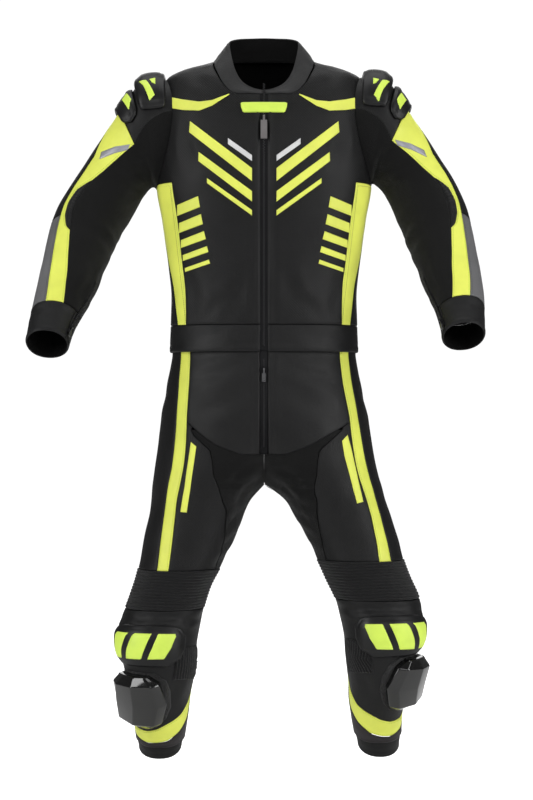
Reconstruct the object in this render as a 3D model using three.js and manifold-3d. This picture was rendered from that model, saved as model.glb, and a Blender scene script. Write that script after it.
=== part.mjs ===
// A two-piece leather motorcycle race suit, filled out as if worn, with nobody in it.
// The jacket hangs from the neck and shoulders, and the trousers hang inside its hem.
// Every cut and sewn piece is its own thin wall, taken from the rings of the body, an arm or a leg.
// Millimetres, +Z up, -Y is the front, +X is the wearer's left. The origin is the middle of the neck.
import * as THREE from "three";
import Module from "manifold-3d";

const wasm = await Module();
wasm.setup();

// Driving sizes
const LEATHER = 2.0; // wall of a leather or stretch panel
const COLLAR_WALL = 3.2;
const SEAM = 0.3; // air between two sewn pieces
const END_SEAM = 0.7; // the same where a piece ends against another across the limb
const LIFT = 0.3; // air under a piece that lies on a panel
const HEM = 534; // depth of the jacket's lower edge below the neck
const BAND_TOP = 483; // where the jacket's hem band starts
const WAIST = 516; // trousers' top edge, hidden inside the jacket's hem
const RIB_TOP = 938; // accordion panel over the knee
const RIB_END = 1010;
const CUFF_TOP = 1256; // soft ankle cuff
const LEG_END = 1282;
const SLEEVE_ROOT = -60; // where the sleeve's rings start, inside the body
const WRIST_TOP = 432;
const WRIST_END = 499;
const ZIP_HALF = 7; // half the front zip's width
const ZIP_TOP = 20; // the zip starts under the collar
const UNDERARM = 218; // the side stripe starts under the armhole
const ARMHOLE_REACH = 116; // how far down the arm its hollow opens the body
const SLEEVE_JOIN = 40; // the shoulder leather ends and the long sleeve panels start
const JOIN_GAP = 0.5; // air across that join, which runs over a tight bend
const ELBOW = 238; // the forearm panel starts
const RIBS_FROM = 154; // elbow ribs
const RIBS_TO = 272;
const RIB_PITCH = 13;
const RIB_HIGH = 1.8;
const KNEE_WAVES = 13; // ribs of the accordion over the knee
const WAVE_HIGH = 2.4;
const TIP_GAP = 0.5; // degrees of air where a narrow panel lies beside a turning seam
const CROTCH_END = 785; // where the two halves of the trousers part between the legs
const CALF_FROM = 94; // the calf's seams
const CALF_TO = 268;
const SHIN_ANGLES = [-91, -84, -72, -45, -19, 5, 27, 60, 93]; // where the panels on the shin bend

const COLOURS = {
  black: [0x1b1b1d, 0.55],
  stretch: [0x141416, 0.9],
  lime: [0xd9f032, 0.5],
  grey: [0x6d6d72, 0.5],
  hard: [0x0f0f10, 0.15],
  zip: [0x222224, 0.4],
};

// Rings of the body: how far below the neck, half width, half depth, middle's depth, squareness.
const BODY = [
  { at: -38, a: 54, b: 20, y: 30, n: 2.0 },
  { at: -30, a: 78, b: 37, y: 29, n: 2.0 },
  { at: -22, a: 98, b: 51, y: 25, n: 2.0 },
  { at: -14, a: 120, b: 63.5, y: 19.5, n: 2.0 },
  { at: -8, a: 142, b: 71.5, y: 15.5, n: 2.1 },
  { at: 0, a: 164, b: 78.5, y: 12.5, n: 2.1 },
  { at: 9, a: 180, b: 86, y: 10, n: 2.2 },
  { at: 20, a: 188, b: 93.5, y: 7.5, n: 2.2 },
  { at: 45, a: 193, b: 104, y: 5, n: 2.3 },
  { at: 90, a: 197, b: 117, y: 0, n: 2.3 },
  { at: 150, a: 202, b: 127, y: -2, n: 2.3 },
  { at: 220, a: 204, b: 130, y: -3, n: 2.3 },
  { at: 281, a: 194, b: 126, y: -2, n: 2.3 },
  { at: 327, a: 187, b: 122, y: 0, n: 2.3 },
  { at: 372, a: 181, b: 119, y: 0, n: 2.3 },
  { at: 418, a: 176.5, b: 117, y: 0, n: 2.3 },
  { at: 483, a: 177, b: 117, y: 0, n: 2.3 },
  { at: 534, a: 178.5, b: 118, y: 0, n: 2.3 },
];

// Rings of an arm: distance along it, middle in each arm (xR zR, xL zL), depth y, half width a,
// half thickness b, how far the arm drops below level and comes forward there, in degrees.
const ARM = [
  { at: -60, xR: 152, zR: -118, xL: 152, zL: -114, y: 4, a: 99, b: 72, drop: 5, fwd: 0 },
  { at: 0, xR: 212, zR: -124, xL: 211, zL: -118, y: 2, a: 109, b: 78, drop: 8, fwd: 0 },
  { at: 26, xR: 235.7, zR: -138.8, xL: 232.7, zL: -131.8, y: 0, a: 85, b: 76, drop: 19, fwd: 2 },
  { at: 57, xR: 253.3, zR: -161.2, xL: 250.3, zL: -155.2, y: -3, a: 71.5, b: 72, drop: 30, fwd: 4 },
  { at: 90, xR: 271, zR: -188, xL: 269, zL: -181, y: -8, a: 65, b: 69, drop: 45, fwd: 8 },
  { at: 116, xR: 285, zR: -210, xL: 284, zL: -205, y: -14, a: 63, b: 67, drop: 55, fwd: 12 },
  { at: 147, xR: 300, zR: -236, xL: 298, zL: -231, y: -22, a: 64, b: 66, drop: 61, fwd: 15 },
  { at: 180, xR: 316, zR: -264, xL: 311, zL: -260, y: -32, a: 65, b: 66, drop: 66, fwd: 19 },
  { at: 216, xR: 331, zR: -294, xL: 322, zL: -290, y: -45, a: 65, b: 65, drop: 69, fwd: 24 },
  { at: 259, xR: 343, zR: -331, xL: 331, zL: -327, y: -66, a: 62, b: 61, drop: 73, fwd: 29 },
  { at: 317, xR: 355, zR: -378, xL: 341, zL: -372, y: -97, a: 57, b: 56, drop: 76, fwd: 32 },
  { at: 367, xR: 365, zR: -419, xL: 349, zL: -410, y: -124, a: 53, b: 52, drop: 78, fwd: 34 },
  { at: 413, xR: 376, zR: -455, xL: 357, zL: -445, y: -149, a: 47, b: 47, drop: 81, fwd: 36 },
  { at: 454, xR: 385, zR: -487, xL: 360, zL: -477, y: -173, a: 42, b: 43, drop: 84, fwd: 37 },
  { at: 499, xR: 392, zR: -523, xL: 361, zL: -509, y: -200, a: 39, b: 41, drop: 85, fwd: 37 },
];

// Rings of a leg: distance below the neck, then for each leg the middle c, half width a and level z;
// half depth b, middle's depth y, and lean, the rise of the ring from front to back.
const LEG = [
  { at: 516, cR: 0, aR: 173.4, zR: -516, cL: 0, aL: 173.4, zL: -516, b: 113, y: 0, lean: 0 },
  { at: 538, cR: 0, aR: 173.8, zR: -538, cL: 0, aL: 173.8, zL: -538, b: 113.6, y: 0, lean: 0 },
  { at: 560, cR: 2, aR: 175.5, zR: -560, cL: 2, aL: 175.5, zL: -560, b: 118, y: 0, lean: 0 },
  { at: 600, cR: 12, aR: 173, zR: -600, cL: 12, aL: 173, zL: -600, b: 123, y: 1, lean: 0 },
  { at: 646, cR: 30, aR: 163, zR: -646, cL: 31, aL: 164, zL: -646, b: 127, y: 2, lean: 0 },
  { at: 690, cR: 52, aR: 147, zR: -690, cL: 54, aL: 149, zL: -690, b: 127, y: 1, lean: 0 },
  { at: 737, cR: 79, aR: 126, zR: -737, cL: 82, aL: 129, zL: -737, b: 123, y: -3, lean: 0 },
  { at: 768, cR: 97, aR: 112, zR: -768, cL: 102, aL: 116, zL: -768, b: 118, y: -7, lean: 0 },
  { at: 785, cR: 106, aR: 105, zR: -785, cL: 114, aL: 109, zL: -785, b: 115, y: -9, lean: 0 },
  { at: 812, cR: 119, aR: 94, zR: -812, cL: 134, aL: 95, zL: -811, b: 108, y: -15, lean: 0 },
  { at: 842, cR: 128, aR: 89, zR: -842, cL: 147, aL: 91, zL: -838, b: 101, y: -22, lean: 0 },
  { at: 872, cR: 137, aR: 87, zR: -872, cL: 159, aL: 87, zL: -864, b: 96, y: -29, lean: 0 },
  { at: 902, cR: 147, aR: 82, zR: -902, cL: 170, aL: 84, zL: -890, b: 92, y: -36, lean: 0 },
  { at: 938, cR: 159, aR: 76, zR: -938, cL: 181, aL: 81, zL: -921, b: 88, y: -46, lean: 0 },
  { at: 974, cR: 173, aR: 72, zR: -974, cL: 195, aL: 79, zL: -956, b: 84, y: -55, lean: 0 },
  { at: 1010, cR: 185, aR: 73, zR: -1010, cL: 211, aL: 78, zL: -992, b: 82, y: -65, lean: 0 },
  { at: 1048, cR: 196, aR: 76, zR: -1048, cL: 220, aL: 77, zL: -1030, b: 81, y: -73, lean: 0 },
  { at: 1078, cR: 198, aR: 73, zR: -1078, cL: 222, aL: 73, zL: -1060, b: 79, y: -79, lean: 0.02 },
  { at: 1107, cR: 195, aR: 69, zR: -1107, cL: 218, aL: 67, zL: -1089, b: 76, y: -81, lean: 0.06 },
  { at: 1137, cR: 193, aR: 63, zR: -1137, cL: 215, aL: 61, zL: -1119, b: 71, y: -78, lean: 0.12 },
  { at: 1169, cR: 193, aR: 57, zR: -1169, cL: 213, aL: 55, zL: -1151, b: 65, y: -68, lean: 0.2 },
  { at: 1200, cR: 193, aR: 53, zR: -1200, cL: 211, aL: 52, zL: -1182, b: 60, y: -56, lean: 0.27 },
  { at: 1233, cR: 194, aR: 49, zR: -1233, cL: 212, aL: 48, zL: -1217, b: 54, y: -42, lean: 0.32 },
  { at: 1256, cR: 195, aR: 46, zR: -1255, cL: 214, aL: 45, zL: -1246, b: 51, y: -33, lean: 0.34 },
  { at: 1282, cR: 196, aR: 41, zR: -1280, cL: 216, aL: 40, zL: -1276, b: 47, y: -24, lean: 0.35 },
];

// Rows where a panel may bend, shared by all panels of one limb so that seams run together
const BODY_ROWS = [-38, -26, -10, 6, 26, 54, 96, 150, 218, 278, 330, 400, 483, 534];
const ARM_ROWS = [
  -60, -25, 0, 24, 40, 57, 72, 94, 120, 154, 180, 210, 238, 262, 272, 300, 345, 390, 432, 465, 499,
];
const LEG_ROWS = [
  516, 560, 606, 654, 690, 716, 750, 785, 812, 842, 876, 912, 938, 974, 1010, 1048, 1078, 1107, 1137, 1169,
  1200, 1230, 1256, 1270, 1282,
];

// Seams: the angle round a limb in degrees against the distance along it.
// 0 is the front, 90 the outer side, 180 the back and -90 the inner side.
const FRONT_SIDE = [[-38, 90], [45, 88], [218, 84]];
const SIDE_STRIPE_IN = [[218, 54], [380, 54], [483, 52]];
const SIDE_STRIPE_OUT = [[218, 100], [278, 92], [378, 76], [483, 62]];
const SLEEVE_IN = [
  [-60, 22], [-30, 19], [0, 11], [40, 1], [64, 6], [96, 12], [126, 18], [154, 26], [200, 28], [234, 26],
  [256, 22], [276, 19], [326, 9], [386, -5], [432, -20],
];
const SLEEVE_OUT = [
  [40, 99], [60, 88], [80, 72], [108, 56], [180, 54], [216, 52], [258, 48], [304, 44], [382, 34], [432, 24],
];
const RIB_OUT = [[154, 27.2], [180, 42], [210, 44], [238, 40], [262, 30], [272, 20.9]];
const SLEEVE_BACK = 215;
const TAB = [[73, -11.6, 11.6], [75, -12.6, 12.6], [83, -12.3, 12.3], [91, -11.4, 11.4], [93, -10.5, 10.5]];
// Outlines of the shells of armour, row by row: distance, and the angles where the row starts and ends
const SHOULDER_UPPER = [
  [-34, 40, 128], [-31, 24, 144], [-20, 22, 146], [-4, 22, 146], [8, 25, 143], [11, 36, 132],
];
const SHOULDER_LOWER = [[14, 34, 134], [17, 27, 141], [28, 25, 143], [40, 34, 134], [43, 42, 126]];
const KNEE_CUP = [
  [1036, -12, 44], [1042, -32, 66], [1056, -42, 80], [1076, -43, 83], [1094, -36, 78], [1106, -14, 56],
];
const PUCK = {
  R: [[1120, 14, 66], [1132, -4, 84], [1152, -12, 96], [1178, -14, 98], [1198, -4, 92], [1207, 14, 78]],
  L: [[1110, 36, 80], [1122, 20, 98], [1142, 10, 108], [1166, 8, 110], [1186, 16, 106], [1195, 32, 92]],
};
// Each shell's facets across, its height in the middle and at its rim, the air under it, and how
// square its dome is
const SHELLS = {
  tab: { cols: 6, crown: 5, rim: 2, lift: 0.15, square: 4 },
  upper: { cols: 9, crown: 10, rim: 3, lift: 2.2, square: 6 },
  lower: { cols: 8, crown: 9, rim: 3, lift: 1.3, square: 6 },
  knee: { cols: 9, crown: 11, rim: 2.5, lift: 2.2, square: 4 },
  puck: { cols: 6, crown: 29, rim: 12, lift: 2.2, square: 6 },
};
const CUFF_ZIP = [[352, -68], [406, -71], [454, -69], [486, -58]];
const STRIPE_IN = {
  R: [[516, 52], [540, 51], [654, 42], [750, 31], [844, 24], [938, 13]],
  L: [[516, 54], [540, 53], [654, 49], [750, 41], [844, 34], [938, 23]],
};
const STRIPE_OUT = {
  R: [[516, 63], [540, 62], [654, 52], [750, 44], [844, 40], [938, 30]],
  L: [[516, 65], [540, 64], [654, 59], [750, 55], [844, 49], [938, 41]],
};
const FORK_TOP = 664; // where the stretch panel's V seam leaves the leg stripe
const FORK_SPLIT = 676; // where its two seams part, round the stretch panel
const FORK_END = 724;
const FORK_IN = {
  R: [[664, 40.4], [676, 33], [690, 24], [706, 12], [716, -1], [724, -14]],
  L: [[664, 47.8], [676, 37], [690, 24], [706, 10], [716, -3], [724, -16]],
};
const FORK_OUT = {
  R: [[676, 36], [690, 31], [716, 14], [762, 0], [798, -19], [828, -36], [868, -45], [920, -60], [938, -64]],
  L: [[676, 40], [690, 31], [716, 14], [762, 0], [798, -17], [828, -28], [868, -38], [920, -49], [938, -53]],
};
const FORK_BACK = [[785, -90], [812, -100], [842, -108], [938, -112]];
const BAND_UPPER = [
  [-84, 1151], [-72, 1176], [-45, 1195], [-19, 1205], [5, 1216], [27, 1222], [60, 1224], [94, 1216],
];
const BAND_LOWER = [
  [-84, 1172], [-72, 1208], [-45, 1228], [-19, 1240], [5, 1244], [27, 1246], [60, 1243], [94, 1236],
];

const BODY_N = 2.3; // squareness of the rings below the chest, of an arm and of a leg
const ARM_N = 2.1;
const LEG_N = 2.15;
const STEP = 0.2; // a seam's step to one side is this long

// The largest folds: distance along the limb, shares across the panel where each starts and ends, height
const ARMPIT_AND_ELBOW_FOLDS = [
  { at: 72, from: 0.3, to: 0.85, high: 3 },
  { at: 210, from: 0.15, to: 0.75, high: 3 },
  { at: 262, from: 0.2, to: 0.8, high: 2.6 },
];
const SEAT_FOLDS = [
  { at: 812, from: 0.2, to: 0.85, high: 3 },
  { at: 912, from: 0.25, to: 0.9, high: 2.4 },
];
const KNEE_BACK_FOLDS = [
  { at: 1010, from: 0.1, to: 0.9, high: 3.4 },
  { at: 1048, from: 0.15, to: 0.85, high: 2.8 },
];
// Rows of the knee panel as shares of its height, with the lift of the fold over the cup on each
const KNEE_ROWS = [
  { share: 0, high: 0 },
  { share: 0.04, high: 0 },
  { share: 0.075, high: 2.6 },
  { share: 0.11, high: 0 },
  { share: 0.3, high: 0 },
  { share: 0.55, high: 0 },
  { share: 0.8, high: 0 },
  { share: 1, high: 0 },
];

// The swinging parts of a zip's slider
const HINGE = 5.1; // height of the axle over the cloth
const SLIDER = { high: 2.2, middle: 1.5, longer: 1.2 };
const CHEEK = { wide: 1.2, high: 4.6, long: 4.4, middle: 4.6 };
const TONGUE = { thick: 1.2, long: 9, middle: -5 };
const EYE_WALL = 1.1; // round the axle
const TAB_START = 8; // where the pull tab widens, below the axle
const FRONT_ZIP = {
  at: 101, sunk: 1.4,
  size: { wide: 10, tongue: 4, tab: 12, long: 44, thick: 3.6, axle: 1 },
};
const FLY_ZIP = {
  at: 566, over: 1.2,
  size: { wide: 8, tongue: 3, tab: 7, long: 24, thick: 2, axle: 0.8 },
};
const SLEEVE_ZIP = {
  from: 352, to: 484, half: 4, tape: 1.2, at: 472, over: 0.2,
  size: { wide: 6, tongue: 2.4, tab: 5, long: 20, thick: 1.6, axle: 0.7 },
};

const sideOf = { R: -1, L: 1 };
const rad = THREE.MathUtils.degToRad;
const V = (x, y, z) => new THREE.Vector3(x, y, z);

// A smooth value of one column of a table of rings
function column(rows, key, at) {
  let i = 0;
  while (i < rows.length - 2 && rows[i + 1].at < at) i++;
  const last = rows.length - 1;
  const [r0, r1, r2, r3] = [i - 1, i, i + 1, i + 2].map((k) => rows[Math.min(Math.max(k, 0), last)]);
  const span = r2.at - r1.at;
  const slope = (p, q) => (span * (q[key] - p[key])) / (q.at - p.at);
  const t = (at - r1.at) / span;
  const t2 = t * t;
  const t3 = t2 * t;
  const start = (2 * t3 - 3 * t2 + 1) * r1[key] + (t3 - 2 * t2 + t) * slope(r0, r2);
  return start + (3 * t2 - 2 * t3) * r2[key] + (t3 - t2) * slope(r1, r3);
}

// A straight-line value of a seam at one place along it
function along(line, at) {
  if (typeof line === "function") return line(at);
  if (typeof line === "number") return line;
  if (at <= line[0][0]) return line[0][1];
  for (let i = 1; i < line.length; i++) {
    const [p, q] = [line[i - 1], line[i]];
    if (at <= q[0]) return p[1] + ((q[1] - p[1]) * (at - p[0])) / (q[0] - p[0]);
  }
  return line[line.length - 1][1];
}

// A point of a ring: a superellipse with squareness n, in the plane of two axes
function ringPoint(middle, outward, backward, a, b, n, phi) {
  const s = Math.sin(rad(phi));
  const c = Math.cos(rad(phi));
  const reach = (Math.abs(s) ** n + Math.abs(c) ** n) ** (-1 / n);
  return middle.clone().addScaledVector(outward, a * s * reach).addScaledVector(backward, -b * c * reach);
}

// The angle on the front of a ring where it is a given share of its half width from the middle
function angleAt(share, n) {
  return THREE.MathUtils.radToDeg(Math.atan2(share, (1 - Math.abs(share) ** n) ** (1 / n)));
}

// The three forms. Each gives a point from an angle and a distance along it, and its middle there.
function bodyForm(side = 1) {
  const middle = (at) => V(0, column(BODY, "y", at), -at);
  return {
    middle,
    point(phi, at) {
      const [a, b, n] = ["a", "b", "n"].map((key) => column(BODY, key, at));
      return ringPoint(middle(at), V(side, 0, 0), V(0, 1, 0), a, b, n, phi);
    },
  };
}

function armForm(key) {
  const side = sideOf[key];
  const value = (name, at) => column(ARM, name, at);
  const middle = (at) => V(side * value("x" + key, at), value("y", at), value("z" + key, at));
  return {
    middle,
    point(phi, at) {
      const drop = rad(value("drop", at));
      const fwd = rad(value("fwd", at));
      const outward = V(side * Math.sin(drop), 0, Math.cos(drop));
      const turned = Math.sin(fwd);
      const backward = V(side * Math.cos(drop) * turned, Math.cos(fwd), -Math.sin(drop) * turned);
      return ringPoint(middle(at), outward, backward, value("a", at), value("b", at), ARM_N, phi);
    },
  };
}

function legForm(key) {
  const side = sideOf[key];
  const value = (name, at) => column(LEG, name, at);
  const middle = (at) => V(side * value("c" + key, at), value("y", at), value("z" + key, at));
  return {
    middle,
    point(phi, at) {
      const m = middle(at);
      const [a, b] = [value("a" + key, at), value("b", at)];
      const p = ringPoint(m, V(side, 0, 0), V(0, 1, 0), a, b, LEG_N, phi);
      p.z += value("lean", at) * (p.y - m.y);
      p.x = side * Math.max(side * p.x, SEAM / 2); // the two halves of the trousers meet at the middle
      return p;
    },
    // The angle where the ring meets the middle plane of the body, at the front
    centre(at) {
      return -angleAt(Math.min(1, value("c" + key, at) / value("a" + key, at)), LEG_N);
    },
  };
}

// The outward direction of a form at one place
function normal(form, phi, at) {
  const e = 0.6;
  const across = form.point(phi + e, at).sub(form.point(phi - e, at));
  const down = form.point(phi, at + e).sub(form.point(phi, at - e));
  const n = across.cross(down).normalize();
  return n.dot(form.point(phi, at).sub(form.middle(at))) < 0 ? n.negate() : n;
}

const lifted = (form, phi, at, d) => form.point(phi, at).addScaledVector(normal(form, phi, at), d);

// A closed solid from vertices and triangles, turned the right way out
function solid(points, faces) {
  const vertProperties = new Float32Array(points.flatMap((p) => [p.x, p.y, p.z]));
  let volume = 0;
  for (const [i, j, k] of faces) volume += points[i].dot(points[j].clone().cross(points[k]));
  const turned = volume < 0 ? faces.map(([i, j, k]) => [i, k, j]) : faces;
  const triVerts = new Uint32Array(turned.flat());
  return new wasm.Manifold(new wasm.Mesh({ numProp: 3, vertProperties, triVerts }));
}

// A wall from a grid of outer points and a grid of inner points, closed round its rim
function wall(outer, inner) {
  const rows = outer.length;
  const cols = outer[0].length;
  const points = [...outer.flat(), ...inner.flat()];
  const o = (i, j) => i * cols + j;
  const n = (i, j) => rows * cols + i * cols + j;
  const faces = [];
  const quad = (a, b, c, d) => faces.push([a, b, c], [a, c, d]);
  for (let i = 0; i < rows - 1; i++)
    for (let j = 0; j < cols - 1; j++) {
      quad(o(i, j), o(i, j + 1), o(i + 1, j + 1), o(i + 1, j));
      quad(n(i, j), n(i + 1, j), n(i + 1, j + 1), n(i, j + 1));
    }
  for (let i = 0; i < rows - 1; i++) {
    quad(o(i, 0), o(i + 1, 0), n(i + 1, 0), n(i, 0));
    quad(o(i, cols - 1), n(i, cols - 1), n(i + 1, cols - 1), o(i + 1, cols - 1));
  }
  for (let j = 0; j < cols - 1; j++) {
    quad(o(0, j), n(0, j), n(0, j + 1), o(0, j + 1));
    quad(o(rows - 1, j), o(rows - 1, j + 1), n(rows - 1, j + 1), n(rows - 1, j));
  }
  return solid(points, faces);
}

// The grid of places, angle and distance, between two edges of a panel
function places(edgeA, edgeB, cols) {
  return edgeA.map((p, i) =>
    Array.from({ length: cols + 1 }, (_, j) => [
      p[0] + ((edgeB[i][0] - p[0]) * j) / cols,
      p[1] + ((edgeB[i][1] - p[1]) * j) / cols,
    ]),
  );
}

const rowsBetween = (rows, from, to) => [from, ...rows.filter((r) => r > from && r < to), to];

// The size of one degree round a form, in millimetres
const degreeSize = (form, phi, at) => form.point(phi + 1, at).distanceTo(form.point(phi - 1, at)) / 2;

// How far it is round a form between two places of one row
function rowLength(form, p, q, parts = 8) {
  const point = (i) => form.point(p[0] + ((q[0] - p[0]) * i) / parts, p[1]);
  let length = 0;
  for (let i = 0; i < parts; i++) length += point(i).distanceTo(point(i + 1));
  return length;
}

// A panel that runs along a limb between two seams. Its relief raises the outer points only.
function strip(form, rows, from, to, low, high, step, options = {}) {
  const { base = 0, thick = LEATHER, relief = () => 0, cols } = options;
  const list = rowsBetween(rows, from, to);
  const inset = (phi, at) => SEAM / 2 / Math.max(degreeSize(form, phi, at), 0.2);
  const edge = (line, sign) =>
    list.map((at, i) => {
      const shift = i === 0 ? END_SEAM / 2 : i === list.length - 1 ? -END_SEAM / 2 : 0;
      const phi = along(line, at);
      return [phi + sign * inset(phi, at), at + shift];
    });
  const [a, b] = [edge(low, 1), edge(high, -1)];
  const widest = Math.max(...a.map((p, i) => rowLength(form, p, b[i])));
  return sheetWall(form, places(a, b, cols ?? Math.max(1, Math.round(widest / step))), base, thick, relief);
}

// The folds of a panel: each lifts the points of one row, most in the middle of its run
function foldRelief(folds) {
  return (u, w, phi, at) => {
    const fold = folds.find((f) => Math.abs(f.at - at) < 1 && w > f.from && w < f.to);
    return fold ? fold.high * Math.sin((Math.PI * (w - fold.from)) / (fold.to - fold.from)) : 0;
  };
}

// A panel that runs round a limb between an upper and a lower seam, in rows at shares of its height
function hoop(form, angles, upper, lower, shares, lift = () => 0) {
  const edge = (line, sign) =>
    angles.map((phi, i) => {
      const inset = END_SEAM / degreeSize(form, phi, along(line, phi));
      const shift = i === 0 ? inset : i === angles.length - 1 ? -inset : 0;
      return [phi + shift, along(line, phi) + (sign * END_SEAM) / 2];
    });
  const [top, end] = [edge(upper, 1), edge(lower, -1)];
  const grid = top.map(([phi, at], i) => shares.map((share) => [phi, at + (end[i][1] - at) * share]));
  return sheetWall(form, grid, 0, LEATHER, lift);
}

function sheetWall(form, grid, base, thick, relief) {
  const last = [grid.length - 1, grid[0].length - 1];
  const outer = grid.map((row, i) =>
    row.map(([phi, at], j) => lifted(form, phi, at, base + relief(i / last[0], j / last[1], phi, at))),
  );
  const inner = grid.map((row) => row.map(([phi, at]) => lifted(form, phi, at, base - thick)));
  return wall(outer, inner);
}

// A closed skin over rings of points, with a middle point at each end
function tube(rings, count, segments, ends) {
  const points = [...rings, ...ends];
  const faces = [];
  const at = (i, j) => i * segments + (j % segments);
  for (let i = 0; i < count - 1; i++)
    for (let j = 0; j < segments; j++)
      faces.push([at(i, j), at(i, j + 1), at(i + 1, j + 1)], [at(i, j), at(i + 1, j + 1), at(i + 1, j)]);
  for (let j = 0; j < segments; j++) {
    faces.push([points.length - 2, at(0, j + 1), at(0, j)]);
    faces.push([points.length - 1, at(count - 1, j), at(count - 1, j + 1)]);
  }
  return solid(points, faces);
}

// The filled space of a form between two rings, for trimming other walls
function filled(form, rows, from, to, grow, segments = 36) {
  const list = rowsBetween(rows, from, to);
  const rings = list.flatMap((at) =>
    Array.from({ length: segments }, (_, j) => lifted(form, (j * 360) / segments, at, grow)),
  );
  return tube(rings, list.length, segments, [form.middle(from), form.middle(to)]);
}

// A hard or padded shell that lies on a form. Its outline is given row by row, and it is domed:
// as high as its crown in the middle and as thin as its rim at the edge.
function pad(form, outline, { cols, crown, rim, lift, square }) {
  const rows = outline.map(([at]) => at);
  const side = (k) => outline.map((row) => [row[0], row[k]]);
  const dome = (u) => 1 - Math.abs(2 * u - 1) ** square;
  return strip(form, rows, rows[0], rows[rows.length - 1], side(1), side(2), 0, {
    base: lift + rim,
    thick: rim,
    cols,
    relief: (u, w) => (crown - rim) * dome(u) * dome(w),
  });
}

function fromGeometry(geometry, matrix) {
  const flat = geometry.index ? geometry.toNonIndexed() : geometry.clone();
  flat.applyMatrix4(matrix);
  const position = flat.getAttribute("position");
  const points = [];
  const seen = new Map();
  const faces = [];
  for (let i = 0; i < position.count; i += 3)
    faces.push(
      [0, 1, 2].map((k) => {
        const p = V().fromBufferAttribute(position, i + k);
        const key = [p.x, p.y, p.z].map((x) => Math.round(x * 1e4)).join(",");
        if (!seen.has(key)) seen.set(key, points.push(p) - 1);
        return seen.get(key);
      }),
    );
  return solid(points, faces.filter(([i, j, k]) => i !== j && j !== k && i !== k));
}

const group = new THREE.Group();
group.name = "race_suit";

function add(name, colour, made) {
  const mesh = made.getMesh();
  const position = new Float32Array(mesh.numVert * 3);
  for (let i = 0; i < mesh.numVert; i++)
    position.set(mesh.vertProperties.subarray(i * mesh.numProp, i * mesh.numProp + 3), i * 3);
  const geometry = new THREE.BufferGeometry();
  geometry.setAttribute("position", new THREE.BufferAttribute(position, 3));
  geometry.setIndex(new THREE.BufferAttribute(mesh.triVerts, 1));
  geometry.computeVertexNormals();
  const [color, roughness] = COLOURS[colour];
  const node = new THREE.Mesh(geometry, new THREE.MeshStandardMaterial({ color, roughness, metalness: 0 }));
  node.name = name;
  group.add(node);
}

// The largest body of a trimmed wall, without slivers
function largest(made) {
  const bodies = made.decompose();
  return bodies.reduce((p, q) => (q.volume() > p.volume() ? q : p));
}

// Half of the neck seam, from the front to the back, and the collar's top edge over each point of it
const NECK = [
  { x: 0, y: -104, topX: 0, topY: -87, topZ: -46 },
  { x: 30, y: -103, topX: 22, topY: -83, topZ: -41 },
  { x: 60, y: -99, topX: 41, topY: -72, topZ: -28 },
  { x: 81, y: -84, topX: 54, topY: -54, topZ: -5 },
  { x: 92, y: -60, topX: 61, topY: -32, topZ: 20 },
  { x: 96, y: -32, topX: 65, topY: -7, topZ: 41 },
  { x: 96, y: -2, topX: 67, topY: 18, topZ: 56 },
  { x: 91, y: 26, topX: 65, topY: 40, topZ: 66 },
  { x: 74, y: 48, topX: 50, topY: 55, topZ: 72 },
  { x: 40, y: 60, topX: 26, topY: 61, topZ: 74 },
  { x: 0, y: 64, topX: 0, topY: 63, topZ: 75 },
];
const NECK_STEPS = 40;
const NECK_LOWEST = -120; // no point of the neck seam lies under this level
const mirrored = NECK.slice(1, -1).reverse();
function ringCurve(right, left) {
  return new THREE.CatmullRomCurve3([...NECK.map(right), ...mirrored.map(left)], true);
}
const seamPlan = ringCurve((p) => V(p.x, p.y, 0), (p) => V(-p.x, p.y, 0));
const collarTop = ringCurve((p) => V(p.topX, p.topY, p.topZ), (p) => V(-p.topX, p.topY, p.topZ));

// The height of the body's skin over a point of its plan, near the neck
function skinHeight(x, y) {
  const inside = (z) => {
    const [a, b, middle, n] = ["a", "b", "y", "n"].map((key) => column(BODY, key, -z));
    return Math.abs(x / a) ** n + Math.abs((y - middle) / b) ** n < 1;
  };
  let [low, high] = [NECK_LOWEST, -BODY[0].at];
  for (let i = 0; i < 30; i++) {
    const z = (low + high) / 2;
    if (inside(z)) low = z;
    else high = z;
  }
  return low;
}

function neckOutward(t) {
  const run = seamPlan.getTangent(t);
  return V(run.y, -run.x, 0);
}

function neckSeam(t) {
  const p = seamPlan.getPoint(t);
  return V(p.x, p.y, skinHeight(p.x, p.y));
}

// The space over the neck, which trims the panels round the collar's foot
function neckSpace() {
  const seam = Array.from({ length: NECK_STEPS }, (_, j) => {
    const t = j / NECK_STEPS;
    return neckSeam(t).addScaledVector(neckOutward(t), 0.8).sub(V(0, 0, 1.4));
  });
  const inside = V(0, -20, -50);
  const above = V(0, -10, 130);
  const away = (p) => p.clone().sub(V(0, -15, -60)).normalize();
  return tube(
    [
      ...seam.map((p) => p.clone().lerp(inside, 0.5)),
      ...seam,
      ...seam.map((p) => p.clone().addScaledVector(away(p), 70)),
    ],
    3,
    NECK_STEPS,
    [inside, above],
  );
}

// Stand-up collar: leans in from the neck seam to its top edge, and opens at the zip
function collar() {
  const cols = 34;
  const gap = 1.2 / seamPlan.getLength();
  const shares = [0, 0.3, 0.7, 1];
  const bulge = [0, 2.4, 2, 0];
  const grid = (deep) =>
    shares.map((share, i) =>
      Array.from({ length: cols + 1 }, (_, j) => {
        const t = gap + ((1 - 2 * gap) * j) / cols;
        const outward = neckOutward(t);
        const low = neckSeam(t).addScaledVector(outward, -0.8);
        return low.lerp(collarTop.getPoint(t), share).addScaledVector(outward, bulge[i] - deep);
      }),
    );
  return wall(grid(0), grid(COLLAR_WALL));
}

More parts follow.
